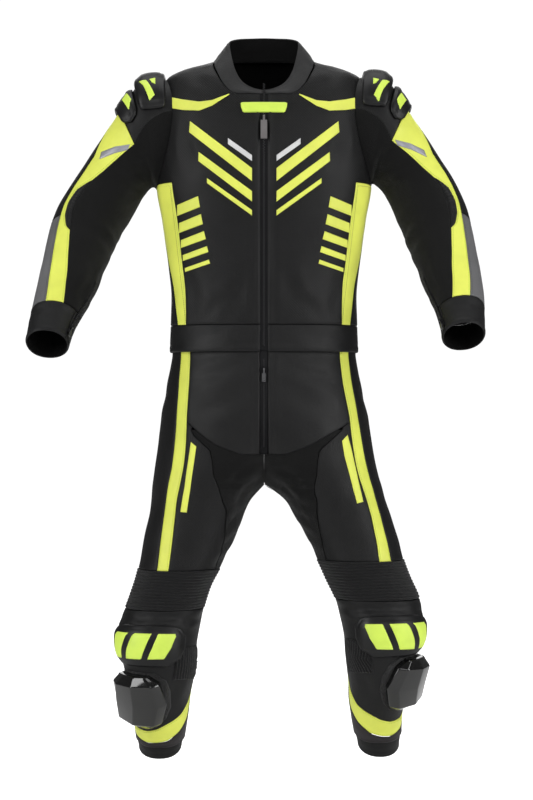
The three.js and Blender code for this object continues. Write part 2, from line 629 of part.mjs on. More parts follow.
// A zip's slider with its pull tab, in a frame of its own: down the zip, out of the cloth, and across
function zipHardware(name, tape, place, out, down, size) {
  const x = V().crossVectors(down, out).normalize(); // the tab turns about this line
  const frame = new THREE.Matrix4().makeBasis(x, out, down.clone().negate()).setPosition(place);
  const shifted = (px, py, pz) => frame.clone().multiply(new THREE.Matrix4().makeTranslation(px, py, pz));
  const block = (w, d, h, px, py, pz) => fromGeometry(new THREE.BoxGeometry(w, d, h), shifted(px, py, pz));
  const level = new THREE.Matrix4().makeRotationZ(Math.PI / 2);
  const rod = (r, length, sides = 8) =>
    fromGeometry(new THREE.CylinderGeometry(r, r, length, sides), shifted(0, HINGE, 0).multiply(level));
  const { wide, tongue, tab, long, thick, axle } = size;
  const reach = tongue / 2 + CHEEK.wide / 2 + SEAM; // from the middle to each cheek
  const cheek = (px) => block(CHEEK.wide, CHEEK.high, CHEEK.long, px, CHEEK.middle, 0);
  const slider = block(wide, SLIDER.high, wide * SLIDER.longer, 0, SLIDER.middle, 0)
    .add(cheek(reach))
    .add(cheek(-reach))
    .add(rod(axle, tongue + 2 * CHEEK.wide + 2 * SEAM));
  const grip = long - TAB_START;
  const pull = rod(axle + EYE_WALL, tongue, 10)
    .add(block(tongue, TONGUE.thick, TONGUE.long, 0, HINGE, TONGUE.middle))
    .add(block(tab, thick, grip, 0, HINGE, -TAB_START - grip / 2))
    .subtract(rod(axle + SEAM, tongue + 2));
  add(name, "zip", tape.add(slider));
  add(name + "_pull", "hard", pull);
}

// Jacket body
const body = bodyForm(1);
const neck = neckSpace();
const bodySpace = filled(body, BODY_ROWS, BODY[0].at, HEM, 0.9, 44);
const armHollow = (key) => filled(armForm(key), ARM_ROWS, SLEEVE_ROOT, ARMHOLE_REACH, -LEATHER - SEAM, 28);
const holes = armHollow("R").add(armHollow("L")).add(neck);
const zipEdge = (at) => angleAt(ZIP_HALF / column(BODY, "a", at), BODY_N);
const sideSeam = (at) => along(at < UNDERARM ? FRONT_SIDE : SIDE_STRIPE_IN, at);
const backSeam = (at) => along(at < UNDERARM ? FRONT_SIDE : SIDE_STRIPE_OUT, at);
const farSeam = (at) => 360 - backSeam(at);
const sideRows = [...BODY_ROWS, UNDERARM - STEP].sort((p, q) => p - q);
const jacketPanel = (form, from, low, high, step) =>
  largest(strip(form, sideRows, from, BAND_TOP, low, high, step).subtract(holes));
for (const key of ["R", "L"]) {
  const form = bodyForm(sideOf[key]);
  add("front_" + key, "black", jacketPanel(form, BODY[0].at, zipEdge, sideSeam, 40));
  add("side_stripe_" + key, "lime", jacketPanel(form, UNDERARM, SIDE_STRIPE_IN, SIDE_STRIPE_OUT, 20));
}
add("back", "black", jacketPanel(body, BODY[0].at, backSeam, farSeam, 50));
add("hem_band", "black", strip(body, BODY_ROWS, BAND_TOP, HEM, zipEdge, (at) => 360 - zipEdge(at), 40));
add("collar", "black", collar());

// The front zip, and the padded tab that covers its top
{
  const zipStart = (at) => -zipEdge(at);
  const tape = largest(strip(body, BODY_ROWS, ZIP_TOP, HEM, zipStart, zipEdge, 8).subtract(neck));
  const { at, sunk, size } = FRONT_ZIP;
  const out = normal(body, 0, at);
  const down = V(0, 0, -1).addScaledVector(out, out.z).normalize();
  zipHardware("front_zip", tape, lifted(body, 0, at, -sunk), out, down, size);
  add("chest_tab", "lime", pad(body, TAB, SHELLS.tab));
}

// Sleeves
for (const key of ["R", "L"]) {
  const arm = armForm(key);
  const stitchedOn = (made) => largest(made.subtract(bodySpace));
  const limeIn = (at) => along(at >= RIBS_FROM && at <= RIBS_TO ? RIB_OUT : SLEEVE_IN, at);
  const capTop = strip(arm, ARM_ROWS, SLEEVE_ROOT, SLEEVE_JOIN, SLEEVE_IN, SLEEVE_BACK, 36);
  add("sleeve_cap_" + key, "black", stitchedOn(capTop));
  const panelTop = SLEEVE_JOIN + JOIN_GAP;
  add("sleeve_lime_" + key, "lime", strip(arm, ARM_ROWS, panelTop, WRIST_TOP, limeIn, SLEEVE_OUT, 26));
  add("sleeve_outer_" + key, "black", strip(arm, ARM_ROWS, panelTop, ELBOW, SLEEVE_OUT, SLEEVE_BACK, 38));
  add("forearm_" + key, "grey", strip(arm, ARM_ROWS, ELBOW, WRIST_TOP, SLEEVE_OUT, SLEEVE_BACK, 34));
  const inner = strip(arm, ARM_ROWS, SLEEVE_ROOT, WRIST_TOP, SLEEVE_BACK - 360, SLEEVE_IN, 36, {
    relief: foldRelief(ARMPIT_AND_ELBOW_FOLDS),
  });
  add("sleeve_stretch_" + key, "stretch", stitchedOn(inner));
  // Elbow ribs: two short rows a ridge between the places where the crescent bends
  const bends = RIB_OUT.map(([at]) => at);
  const ribRows = bends.slice(1).flatMap((at, i) => {
    const parts = 2 * Math.round((at - bends[i]) / RIB_PITCH);
    return Array.from({ length: parts }, (_, k) => bends[i] + ((at - bends[i]) * (k + 1)) / parts);
  });
  const ridged = (at) => ribRows.indexOf(at) % 2 === 0;
  add(
    "elbow_ribs_" + key,
    "stretch",
    strip(arm, ribRows, RIBS_FROM, RIBS_TO, SLEEVE_IN, (at) => along(RIB_OUT, at) - TIP_GAP, 0, {
      cols: 3,
      relief: (u, w, phi, at) => (w > 0.1 && w < 0.9 && ridged(at) ? RIB_HIGH : 0),
    }),
  );
  add("cuff_" + key, "stretch", strip(arm, ARM_ROWS, WRIST_TOP, WRIST_END, -60, 300, 18));
  const { from, to, half, tape: thick, at, over, size } = SLEEVE_ZIP;
  const offset = (d) => (place) => along(CUFF_ZIP, place) + d;
  const laidOn = { base: LIFT + thick, thick };
  const tape = strip(arm, ARM_ROWS, from, to, offset(-half), offset(half), 20, laidOn);
  const phi = along(CUFF_ZIP, at);
  const run = lifted(arm, phi, at + 5, 0).sub(lifted(arm, phi, at - 5, 0)).normalize();
  const out = normal(arm, phi, at);
  const down = run.addScaledVector(out, -run.dot(out)).normalize();
  zipHardware("cuff_zip_" + key, tape, lifted(arm, phi, at, over), out, down, size);
  add("shoulder_upper_" + key, "hard", stitchedOn(pad(arm, SHOULDER_UPPER, SHELLS.upper)));
  add("shoulder_lower_" + key, "hard", pad(arm, SHOULDER_LOWER, SHELLS.lower));
}

// Trousers
for (const key of ["R", "L"]) {
  const leg = legForm(key);
  const flyEdge = (at) => {
    return -angleAt((column(LEG, "c" + key, at) - ZIP_HALF) / column(LEG, "a" + key, at), LEG_N);
  };
  const forkRows = [...LEG_ROWS, FORK_TOP - STEP, FORK_TOP, FORK_SPLIT].sort((p, q) => p - q);
  const frontOut = (at) => along(at < FORK_TOP ? STRIPE_IN[key] : FORK_IN[key], at);
  const flyLine = (at) => Math.min(flyEdge(at), frontOut(at) - 1);
  add("trouser_front_" + key, "black", strip(leg, forkRows, WAIST, FORK_END, flyLine, frontOut, 28));
  const forkIn = (at) => {
    if (at < FORK_END) return along(FORK_IN[key], at);
    return at < CROTCH_END ? leg.centre(at) : along(FORK_BACK, at);
  };
  const forkOut = (at) => along(FORK_OUT[key], at) - TIP_GAP;
  add("crotch_" + key, "stretch", strip(leg, forkRows, FORK_SPLIT + 2, RIB_TOP, forkIn, forkOut, 30));
  const thighIn = (at) => along(at < FORK_SPLIT ? FORK_IN[key] : FORK_OUT[key], at);
  add("thigh_front_" + key, "black", strip(leg, forkRows, FORK_TOP, RIB_TOP, thighIn, STRIPE_IN[key], 26));
  const stripe = strip(leg, LEG_ROWS, WAIST, RIB_TOP, STRIPE_IN[key], STRIPE_OUT[key], 22);
  add("leg_stripe_" + key, "lime", stripe);
  const backIn = (at) => (at < CROTCH_END ? 180 - leg.centre(at) : 360 + along(FORK_BACK, at));
  const seat = strip(leg, LEG_ROWS, WAIST, RIB_TOP, STRIPE_OUT[key], backIn, 40, {
    relief: foldRelief(SEAT_FOLDS),
  });
  add("trouser_back_" + key, "black", seat);
  const half = 2 * KNEE_WAVES;
  const rows = Array.from({ length: half + 1 }, (_, i) => RIB_TOP + ((RIB_END - RIB_TOP) * i) / half);
  const accordion = strip(leg, rows, RIB_TOP, RIB_END, CALF_TO - 360, CALF_FROM, 38, {
    relief: (u, w) => (w > 0.02 && w < 0.98 && Math.round(u * half) % 2 ? WAVE_HIGH : 0),
  });
  add("knee_accordion_" + key, "stretch", accordion);
  const calf = strip(leg, LEG_ROWS, RIB_TOP, CUFF_TOP, CALF_FROM, CALF_TO, 36, {
    relief: foldRelief(KNEE_BACK_FOLDS),
  });
  add("calf_" + key, "black", calf);
  const kneeShares = KNEE_ROWS.map((row) => row.share);
  const kneeFold = (u, w) => (u > 0 && u < 1 ? KNEE_ROWS[Math.round(w * (KNEE_ROWS.length - 1))].high : 0);
  add("knee_panel_" + key, "black", hoop(leg, SHIN_ANGLES, RIB_END, BAND_UPPER, kneeShares, kneeFold));
  add("shin_band_" + key, "lime", hoop(leg, SHIN_ANGLES, BAND_UPPER, BAND_LOWER, [0, 1]));
  add("shin_" + key, "black", hoop(leg, SHIN_ANGLES, BAND_LOWER, CUFF_TOP, [0, 0.5, 1]));
  add("leg_cuff_" + key, "stretch", strip(leg, LEG_ROWS, CUFF_TOP, LEG_END, -180, 180, 24));
  add("knee_cup_" + key, "hard", pad(leg, KNEE_CUP, SHELLS.knee));
  add("knee_slider_" + key, "hard", pad(leg, PUCK[key], SHELLS.puck));
}

// Fly zip
{
  const leg = legForm("L");
  const list = rowsBetween(LEG_ROWS, WAIST, FORK_END);
  const half = ZIP_HALF - SEAM;
  const front = (at, x, deep) => V(x, leg.point(leg.centre(at), at).y + deep, -at);
  const grid = (deep) => list.map((at) => [-half, 0, half].map((x) => front(at, x, deep)));
  const place = front(FLY_ZIP.at, 0, FLY_ZIP.over);
  zipHardware("fly_zip", wall(grid(0), grid(LEATHER)), place, V(0, -1, 0), V(0, 0, -1), FLY_ZIP.size);
}

export default group;
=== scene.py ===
"""A two-piece leather motorcycle race suit, filled out as if worn, with nobody in it.

Every sewn panel is a fine sheet on the rings of the body, an arm or a leg, with its folds placed
one by one, its edges rolled in at the seams and rows of real stitches. Sizes are millimetres until MM
brings them to metres. The front is -Y and the wearer's left is +X. Angles round a limb: 0 front,
90 outer side, 180 back, -90 inner.
"""
import math

import bmesh
import bpy
import numpy as np
from mathutils import Matrix, Vector
from mathutils.bvhtree import BVHTree


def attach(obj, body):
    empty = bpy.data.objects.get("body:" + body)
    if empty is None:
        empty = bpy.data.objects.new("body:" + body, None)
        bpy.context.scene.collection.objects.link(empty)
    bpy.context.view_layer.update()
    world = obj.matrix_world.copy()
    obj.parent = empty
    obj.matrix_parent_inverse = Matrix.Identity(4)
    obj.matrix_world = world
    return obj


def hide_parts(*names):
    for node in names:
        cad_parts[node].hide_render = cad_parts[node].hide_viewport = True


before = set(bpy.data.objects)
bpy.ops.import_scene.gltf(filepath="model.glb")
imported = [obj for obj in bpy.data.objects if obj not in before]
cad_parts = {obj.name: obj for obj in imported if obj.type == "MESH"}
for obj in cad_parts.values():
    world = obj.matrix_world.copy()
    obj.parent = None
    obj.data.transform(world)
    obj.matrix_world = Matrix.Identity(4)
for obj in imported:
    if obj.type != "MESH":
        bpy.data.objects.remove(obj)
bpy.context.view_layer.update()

MM = 0.001
LEATHER = 2.0
COLLAR_WALL = 3.2
SEAM = 0.3
HEM = 534
BAND_TOP = 483
WAIST = 516
RIB_TOP = 938
RIB_END = 1010
CUFF_TOP = 1256
LEG_END = 1282
SLEEVE_ROOT = -60
WRIST_TOP = 432
WRIST_END = 499
ARMHOLE_REACH = 116
UNDERARM = 218
SLEEVE_JOIN = 40.5
ELBOW = 238
RIBS_FROM = 154
RIBS_TO = 272
CROTCH_TOP = 678
CROTCH_END = 785  # where the legs part
FLANGE = 2.5  # degrees a crotch panel turns in at its middle seam
MIRROR = 528.5  # the front picture's middle, twice
ZIP_HALF = 7
ARM_N = 2.1
LEG_N = 2.15
SIDE = {"R": -1, "L": 1}


# The rings that carry the suit
def rings(names, *rows):
    values = np.array(rows, float)
    return {name: values[:, i] for i, name in enumerate(names.split())}


BODY = rings(
    "at a b y n",
    (-38, 54, 20, 30, 2.0), (-30, 78, 37, 29, 2.0), (-22, 98, 51, 25, 2.0), (-14, 120, 63.5, 19.5, 2.0),
    (-8, 142, 71.5, 15.5, 2.1), (0, 164, 78.5, 12.5, 2.1), (9, 180, 86, 10, 2.2), (20, 188, 93.5, 7.5, 2.2),
    (45, 193, 104, 5, 2.3), (90, 197, 117, 0, 2.3), (150, 202, 127, -2, 2.3), (220, 204, 130, -3, 2.3),
    (281, 194, 126, -2, 2.3), (327, 187, 122, 0, 2.3), (372, 181, 119, 0, 2.3), (418, 176.5, 117, 0, 2.3),
    (483, 177, 117, 0, 2.3), (534, 178.5, 118, 0, 2.3),
)
ARM = rings(
    "at xR zR xL zL y a b drop fwd",
    (-60, 152, -118, 152, -114, 4, 99, 72, 5, 0), (0, 212, -124, 211, -118, 2, 109, 78, 8, 0),
    (26, 235.7, -138.8, 232.7, -131.8, 0, 85, 76, 19, 2),
    (57, 253.3, -161.2, 250.3, -155.2, -3, 71.5, 72, 30, 4),
    (90, 271, -188, 269, -181, -8, 65, 69, 45, 8), (116, 285, -210, 284, -205, -14, 63, 67, 55, 12),
    (147, 300, -236, 298, -231, -22, 64, 66, 61, 15), (180, 316, -264, 311, -260, -32, 65, 66, 66, 19),
    (216, 331, -294, 322, -290, -45, 65, 65, 69, 24), (259, 343, -331, 331, -327, -66, 62, 61, 73, 29),
    (317, 355, -378, 341, -372, -97, 57, 56, 76, 32), (367, 365, -419, 349, -410, -124, 53, 52, 78, 34),
    (413, 376, -455, 357, -445, -149, 47, 47, 81, 36), (454, 385, -487, 360, -477, -173, 42, 43, 84, 37),
    (499, 392, -523, 361, -509, -200, 39, 41, 85, 37),
)
LEG = rings(
    "at cR aR zR cL aL zL b y lean",
    (516, 0, 173.4, -516, 0, 173.4, -516, 113, 0, 0), (538, 0, 173.8, -538, 0, 173.8, -538, 113.6, 0, 0),
    (560, 2, 175.5, -560, 2, 175.5, -560, 118, 0, 0), (600, 12, 173, -600, 12, 173, -600, 123, 1, 0),
    (646, 30, 163, -646, 31, 164, -646, 127, 2, 0), (690, 52, 147, -690, 54, 149, -690, 127, 1, 0),
    (737, 79, 126, -737, 82, 129, -737, 123, -3, 0), (768, 97, 112, -768, 102, 116, -768, 118, -7, 0),
    (785, 106, 105, -785, 114, 109, -785, 115, -9, 0), (812, 119, 94, -812, 134, 95, -811, 108, -15, 0),
    (842, 128, 89, -842, 147, 91, -838, 101, -22, 0), (872, 137, 87, -872, 159, 87, -864, 96, -29, 0),
    (902, 147, 82, -902, 170, 84, -890, 92, -36, 0), (938, 159, 76, -938, 181, 81, -921, 88, -46, 0),
    (974, 173, 72, -974, 195, 79, -956, 84, -55, 0), (1010, 185, 73, -1010, 211, 78, -992, 82, -65, 0),
    (1048, 196, 76, -1048, 220, 77, -1030, 81, -73, 0),
    (1078, 198, 73, -1078, 222, 73, -1060, 79, -79, 0.02),
    (1107, 195, 69, -1107, 218, 67, -1089, 76, -81, 0.06),
    (1137, 193, 63, -1137, 215, 61, -1119, 71, -78, 0.12),
    (1169, 193, 57, -1169, 213, 55, -1151, 65, -68, 0.2),
    (1200, 193, 53, -1200, 211, 52, -1182, 60, -56, 0.27),
    (1233, 194, 49, -1233, 212, 48, -1217, 54, -42, 0.32),
    (1256, 195, 46, -1255, 214, 45, -1246, 51, -33, 0.34),
    (1282, 196, 41, -1280, 216, 40, -1276, 47, -24, 0.35),
)
NECK = rings(
    "x y top_x top_y top_z",
    (0, -104, 0, -87, -46), (30, -103, 22, -83, -41), (60, -99, 41, -72, -28), (81, -84, 54, -54, -5),
    (92, -60, 61, -32, 20), (96, -32, 65, -7, 41), (96, -2, 67, 18, 56), (91, 26, 65, 40, 66),
    (74, 48, 50, 55, 72), (40, 60, 26, 61, 74), (0, 64, 0, 63, 75),
)

# Seams: distance along the limb, and the angle round it
FRONT_SIDE = [(-38, 90), (45, 88), (218, 84)]
SIDE_STRIPE_IN = [(218, 54), (380, 54), (483, 52)]
SIDE_STRIPE_OUT = [(218, 100), (278, 92), (378, 76), (483, 62)]
SLEEVE_IN = [
    (-60, 22), (-30, 19), (0, 11), (40, 1), (64, 6), (96, 12), (126, 18), (154, 26), (200, 28), (234, 26),
    (256, 22), (276, 19), (326, 9), (386, -5), (432, -20),
]
SLEEVE_OUT = [
    (40, 99), (60, 88), (80, 72), (108, 56), (180, 54), (216, 52), (258, 48), (304, 44), (382, 34),
    (432, 24),
]
RIB_OUT = [(154, 27.2), (180, 42), (210, 44), (238, 40), (262, 30), (272, 20.9)]
SLEEVE_BACK = 215
TAB = [(73, -11.6, 11.6), (75, -12.6, 12.6), (83, -12.3, 12.3), (91, -11.4, 11.4), (93, -10.5, 10.5)]
SHOULDER_UPPER = [(-34, 40, 128), (-31, 24, 144), (-20, 22, 146), (-4, 22, 146), (8, 25, 143), (11, 36, 132)]
SHOULDER_LOWER = [(14, 34, 134), (17, 27, 141), (28, 25, 143), (40, 34, 134), (43, 42, 126)]
KNEE_CUP = [
    (1036, -12, 44), (1042, -32, 66), (1056, -42, 80), (1076, -43, 83), (1094, -36, 78), (1106, -14, 56),
]
PUCK = {
    "R": [(1120, 14, 66), (1132, -4, 84), (1152, -12, 96), (1178, -14, 98), (1198, -4, 92), (1207, 14, 78)],
    "L": [(1110, 36, 80), (1122, 20, 98), (1142, 10, 108), (1166, 8, 110), (1186, 16, 106), (1195, 32, 92)],
}
CUFF_ZIP = [(352, -68), (406, -71), (454, -69), (486, -58)]
STRIPE_IN = {
    "R": [(516, 52), (540, 51), (654, 42), (750, 31), (844, 24), (938, 13)],
    "L": [(516, 54), (540, 53), (654, 49), (750, 41), (844, 34), (938, 23)],
}
STRIPE_OUT = {
    "R": [(516, 63), (540, 62), (654, 52), (750, 44), (844, 40), (938, 30)],
    "L": [(516, 65), (540, 64), (654, 59), (750, 55), (844, 49), (938, 41)],
}
FORK_TOP = 664
FORK_END = 724
FORK_IN = {
    "R": [(664, 40.4), (676, 33), (690, 24), (706, 12), (716, -1), (724, -14)],
    "L": [(664, 47.8), (676, 37), (690, 24), (706, 10), (716, -3), (724, -16)],
}
FORK_OUT = {
    "R": [
        (676, 36), (690, 31), (716, 14), (762, 0), (798, -19), (828, -36),
        (868, -45), (920, -60), (938, -64),
    ],
    "L": [
        (676, 40), (690, 31), (716, 14), (762, 0), (798, -17), (828, -28),
        (868, -38), (920, -49), (938, -53),
    ],
}
FORK_MIDDLE = [(724, -15), (762, -22), (798, -45), (828, -64), (868, -74), (938, -86)]
FORK_BACK = [(785, -90), (812, -100), (842, -108), (938, -112)]
BAND_UPPER = [
    (-84, 1151), (-72, 1176), (-45, 1195), (-19, 1205), (5, 1216), (27, 1222), (60, 1224), (94, 1216),
]
BAND_LOWER = [
    (-84, 1172), (-72, 1208), (-45, 1228), (-19, 1240), (5, 1244), (27, 1246), (60, 1243), (94, 1236),
]


def column(table, key, at):
    """A smooth value of one column of a table of rings"""
    place, value = table["at"], table[key]
    at = np.asarray(at, float)
    i = np.clip(np.searchsorted(place, at) - 1, 0, len(place) - 2)
    before, after = np.maximum(i - 1, 0), np.minimum(i + 2, len(place) - 1)
    span = place[i + 1] - place[i]
    t = (at - place[i]) / span
    m1 = (value[i + 1] - value[before]) / (place[i + 1] - place[before]) * span
    m2 = (value[after] - value[i]) / (place[after] - place[i]) * span
    return (
        (2 * t**3 - 3 * t**2 + 1) * value[i] + (t**3 - 2 * t**2 + t) * m1
        + (3 * t**2 - 2 * t**3) * value[i + 1] + (t**3 - t**2) * m2
    )


def along(line, at):
    """A straight-line value of a seam at places along it"""
    at = np.asarray(at, float)
    if callable(line):
        return line(at)
    if np.isscalar(line):
        return np.full_like(at, line)
    return np.interp(at, [p[0] for p in line], [p[1] for p in line])


def angle_at(share, n):
    """The angle on the front of a ring where it is a given share of its half width from the middle"""
    share = np.clip(share, -1, 1)
    return np.degrees(np.arctan2(share, (1 - np.abs(share) ** n) ** (1 / n)))


def ring_point(middle, out, back, a, b, n, phi):
    s, c = np.sin(np.radians(phi)), np.cos(np.radians(phi))
    reach = (np.abs(s) ** n + np.abs(c) ** n) ** (-1 / n)
    return middle + (a * s * reach)[..., None] * out - (b * c * reach)[..., None] * back


def vector(x, y, z):
    return np.stack(np.broadcast_arrays(np.asarray(x, float), y, z), -1).astype(float)


class Torso:
    def __init__(self, side=1):
        self.side = side
        self.creases = []

    def middle(self, at):
        return vector(0, column(BODY, "y", at), -np.asarray(at, float))

    def point(self, phi, at):
        phi, at = np.broadcast_arrays(np.asarray(phi, float), np.asarray(at, float))
        a, b, n = (column(BODY, key, at) for key in "abn")
        return ring_point(self.middle(at), vector(self.side, 0, 0), vector(0, 1, 0), a, b, n, phi)


class Sleeve:
    def __init__(self, key):
        self.key, self.side = key, SIDE[key]
        self.creases = []

    def middle(self, at):
        x, z = column(ARM, "x" + self.key, at), column(ARM, "z" + self.key, at)
        return vector(self.side * x, column(ARM, "y", at), z)

    def point(self, phi, at):
        phi, at = np.broadcast_arrays(np.asarray(phi, float), np.asarray(at, float))
        drop, fwd = np.radians(column(ARM, "drop", at)), np.radians(column(ARM, "fwd", at))
        out = vector(self.side * np.sin(drop), 0, np.cos(drop))
        back = vector(self.side * np.cos(drop) * np.sin(fwd), np.cos(fwd), -np.sin(drop) * np.sin(fwd))
        return ring_point(self.middle(at), out, back, column(ARM, "a", at), column(ARM, "b", at), ARM_N, phi)


class Leg:
    def __init__(self, key):
        self.key, self.side = key, SIDE[key]
        self.creases = []

    def middle(self, at):
        x, z = column(LEG, "c" + self.key, at), column(LEG, "z" + self.key, at)
        return vector(self.side * x, column(LEG, "y", at), z)

    def point(self, phi, at):
        phi, at = np.broadcast_arrays(np.asarray(phi, float), np.asarray(at, float))
        m = self.middle(at)
        a, b = column(LEG, "a" + self.key, at), column(LEG, "b", at)
        p = ring_point(m, vector(self.side, 0, 0), vector(0, 1, 0), a, b, LEG_N, phi)
        p[..., 2] += column(LEG, "lean", at) * (p[..., 1] - m[..., 1])
        p[..., 0] = self.side * np.maximum(self.side * p[..., 0], SEAM / 2)
        return p

    def centre(self, at):
        share = np.minimum(1, column(LEG, "c" + self.key, at) / column(LEG, "a" + self.key, at))
        return -angle_at(share, LEG_N)


def outward(form, phi, at):
    """The direction out of the cloth at each place"""
    step = 0.6
    across = form.point(phi + step, at) - form.point(phi - step, at)
    down = form.point(phi, at + step) - form.point(phi, at - step)
    n = np.cross(across, down)
    n /= np.maximum(np.linalg.norm(n, axis=-1, keepdims=True), 1e-9)
    inside = np.sum(n * (form.point(phi, at) - form.middle(at)), -1) < 0
    n[inside] *= -1
    return n


# What the camera at the front sees
PX = 1.9  # millimetres a picture unit covers on the plane of the zip
EYE = 4000


def seen(form, x, y, phi=20.0, at=None):
    """The angle and distance on a form of places given in the front picture's units"""
    x, y = np.asarray(x, float), np.asarray(y, float)
    if at is None:
        at = 623.2 + (y - 400) * PX * 0.975
    phi = np.full_like(x, phi)
    at = np.broadcast_to(np.asarray(at, float), x.shape).copy()

    def miss(phi, at):
        p = form.point(phi, at)
        f = PX * (EYE + p[..., 1]) / EYE
        return np.stack([266.5 + (p[..., 0] - 4.75) / f - x, 400 - (p[..., 2] + 623.2) / f - y], -1)

    for _ in range(14):
        off = miss(phi, at)
        d1 = (miss(phi + 0.5, at) - off) / 0.5
        d2 = (miss(phi, at + 0.5) - off) / 0.5
        det = d1[..., 0] * d2[..., 1] - d1[..., 1] * d2[..., 0]
        det = np.where(np.abs(det) < 1e-6, 1e-6, det)
        phi = phi - np.clip((off[..., 0] * d2[..., 1] - off[..., 1] * d2[..., 0]) / det, -12, 12)
        at = at - np.clip((d1[..., 0] * off[..., 1] - d1[..., 1] * off[..., 0]) / det, -25, 25)
    return phi, at


# Folds
def crease(form, width, depth, *places, front=False):
    """A soft trough of the cloth, or a ridge where its depth is below zero, along a few places of a form"""
    if front:
        guess = 623.2 + (np.array(places)[:, 1] - 400) * PX * 0.975
        if isinstance(form, Sleeve):
            guess = np.interp(-guess, -np.abs(ARM["z" + form.key][::-1]), ARM["at"][::-1])
        phi, at = seen(form, *np.array(places, float).T, phi=0.0, at=guess)
    else:
        at, phi = np.array(places, float).T
    form.creases.append((form.point(phi, at), width, depth))


def fold_height(form, p):
    """How far the folds lift the cloth at each point"""
    x, y, z = p[..., 0], p[..., 1], p[..., 2]
    height = 0.55 * np.sin(x / 29 + 1.4 * np.sin(z / 61)) * np.sin(z / 37 + 0.9 * np.sin(y / 33))
    height += 0.22 * np.sin(x / 11 + z / 17 + np.sin(y / 9)) * np.sin(y / 13 - z / 23)
    flat = p.reshape(-1, 3)
    for path, width, depth in form.creases:
        start, step = path[:-1], path[1:] - path[:-1]
        near = np.abs(flat - path.mean(0)).max(-1) < np.abs(path - path.mean(0)).max() + 4 * width
        if not near.any():
            continue
        away = flat[near][:, None] - start
        t = np.clip(np.sum(away * step, -1) / np.sum(step * step, -1), 0, 1)
        gap = np.linalg.norm(away - t[..., None] * step, axis=-1)
        j = gap.argmin(-1)
        row = np.arange(len(j))
        share = (j + t[row, j]) / len(step)
        r = gap[row, j] / width
        fade = np.sin(np.pi * np.clip(share, 0.02, 0.98)) ** 0.6 * (1 + 0.18 * np.sin(9 * share + depth))
        add = np.zeros(len(flat))
        add[near] = -depth * fade * (np.exp(-(r**2)) - 0.42 * np.exp(-(((r - 2.1) / 0.9) ** 2)))
        height += add.reshape(height.shape)
    if isinstance(form, Leg):
        height = height * np.clip(np.abs(x) / 14, 0, 1)
    return height


def cloth(form, phi, at, lift=0.0):
    """Points on the folded cloth, and the directions out of it"""
    p = form.point(phi, at)
    n = outward(form, phi, at)
    return p + n * (lift + fold_height(form, p))[..., None], n


torso = {"R": Torso(-1), "L": Torso(1)}
sleeve = {key: Sleeve(key) for key in SIDE}
leg = {key: Leg(key) for key in SIDE}


def both(limb, width, depth, *places, front=False, shift=0.0):
    """The same crease on the right and, a little moved and a little shallower, on the left"""
    crease(limb["R"], width, depth, *places, front=front)
    if front:
        crease(limb["L"], width, depth * 0.9, *[(MIRROR - x, y + shift) for x, y in places], front=True)
    else:
        crease(limb["L"], width, depth * 0.9, *[(at + shift, phi) for at, phi in places])


# Jacket: soft pulls at the armhole, drapes by the zip and over the hem
both(torso, 9, 2.2, (186, 118), (184, 138), (187, 160), front=True, shift=2)
both(torso, 7, 1.5, (194, 122), (190, 146), (196, 172), front=True, shift=-3)
both(torso, 12, 1.8, (222, 322), (236, 300), (246, 268), front=True, shift=-4)
both(torso, 10, 1.4, (206, 322), (214, 306), (232, 292), front=True, shift=3)
both(torso, 14, 1.6, (186, 268), (192, 290), (196, 316), front=True, shift=5)
both(torso, 12, 1.2, (210, 226), (226, 240), (246, 246), front=True, shift=-6)
both(torso, 11, 1.6, (-6, 60), (20, 40), (52, 30), shift=3)
both(torso, 14, 2.4, (60, 120), (120, 128), (190, 124), shift=8)
both(torso, 16, 2.2, (300, 118), (360, 135), (420, 160), shift=-10)
both(torso, 14, 1.8, (400, 112), (440, 126), (474, 148), shift=6)
both(torso, 18, 1.8, (120, 150), (210, 158), (300, 166), shift=12)
both(torso, 12, 1.5, (492, 20), (506, 44), (516, 70), shift=3)

# Sleeves: pulls at the armpit, the inner elbow and the wrist, and over the back of the arm
both(sleeve, 9, 3.0, (30, -44), (44, -14), (60, 4))
both(sleeve, 8, 2.4, (54, -70), (70, -34), (92, -6), shift=4)
both(sleeve, 10, 2.6, (88, -96), (104, -60), (130, -30), shift=-3)
both(sleeve, 10, 3.2, (196, -106), (210, -70), (216, -30), shift=3)
both(sleeve, 8, 2.4, (226, -110), (232, -72), (226, -30), shift=-4)
both(sleeve, 9, 2.2, (250, -104), (262, -64), (258, -14), shift=4)
both(sleeve, 9, 1.8, (292, -112), (320, -84), (352, -72))
both(sleeve, 7, 1.6, (366, -110), (384, -84), (408, -92), shift=4)
both(sleeve, 8, 1.8, (330, -52), (370, -50), (414, -48), shift=-3)
both(sleeve, 10, 2.0, (60, 110), (90, 134), (130, 150), shift=6)
both(sleeve, 12, 2.4, (170, 120), (200, 150), (220, 190), shift=-5)
both(sleeve, 10, 2.0, (240, 100), (262, 140), (270, 190), shift=4)
both(sleeve, 9, 1.6, (56, 20), (48, 44), (58, 70), shift=2)
both(sleeve, 6, 1.4, (446, -40), (450, 30), (446, 90), shift=2)
both(sleeve, 6, 1.2, (468, 120), (472, 190), (468, 260), shift=-3)

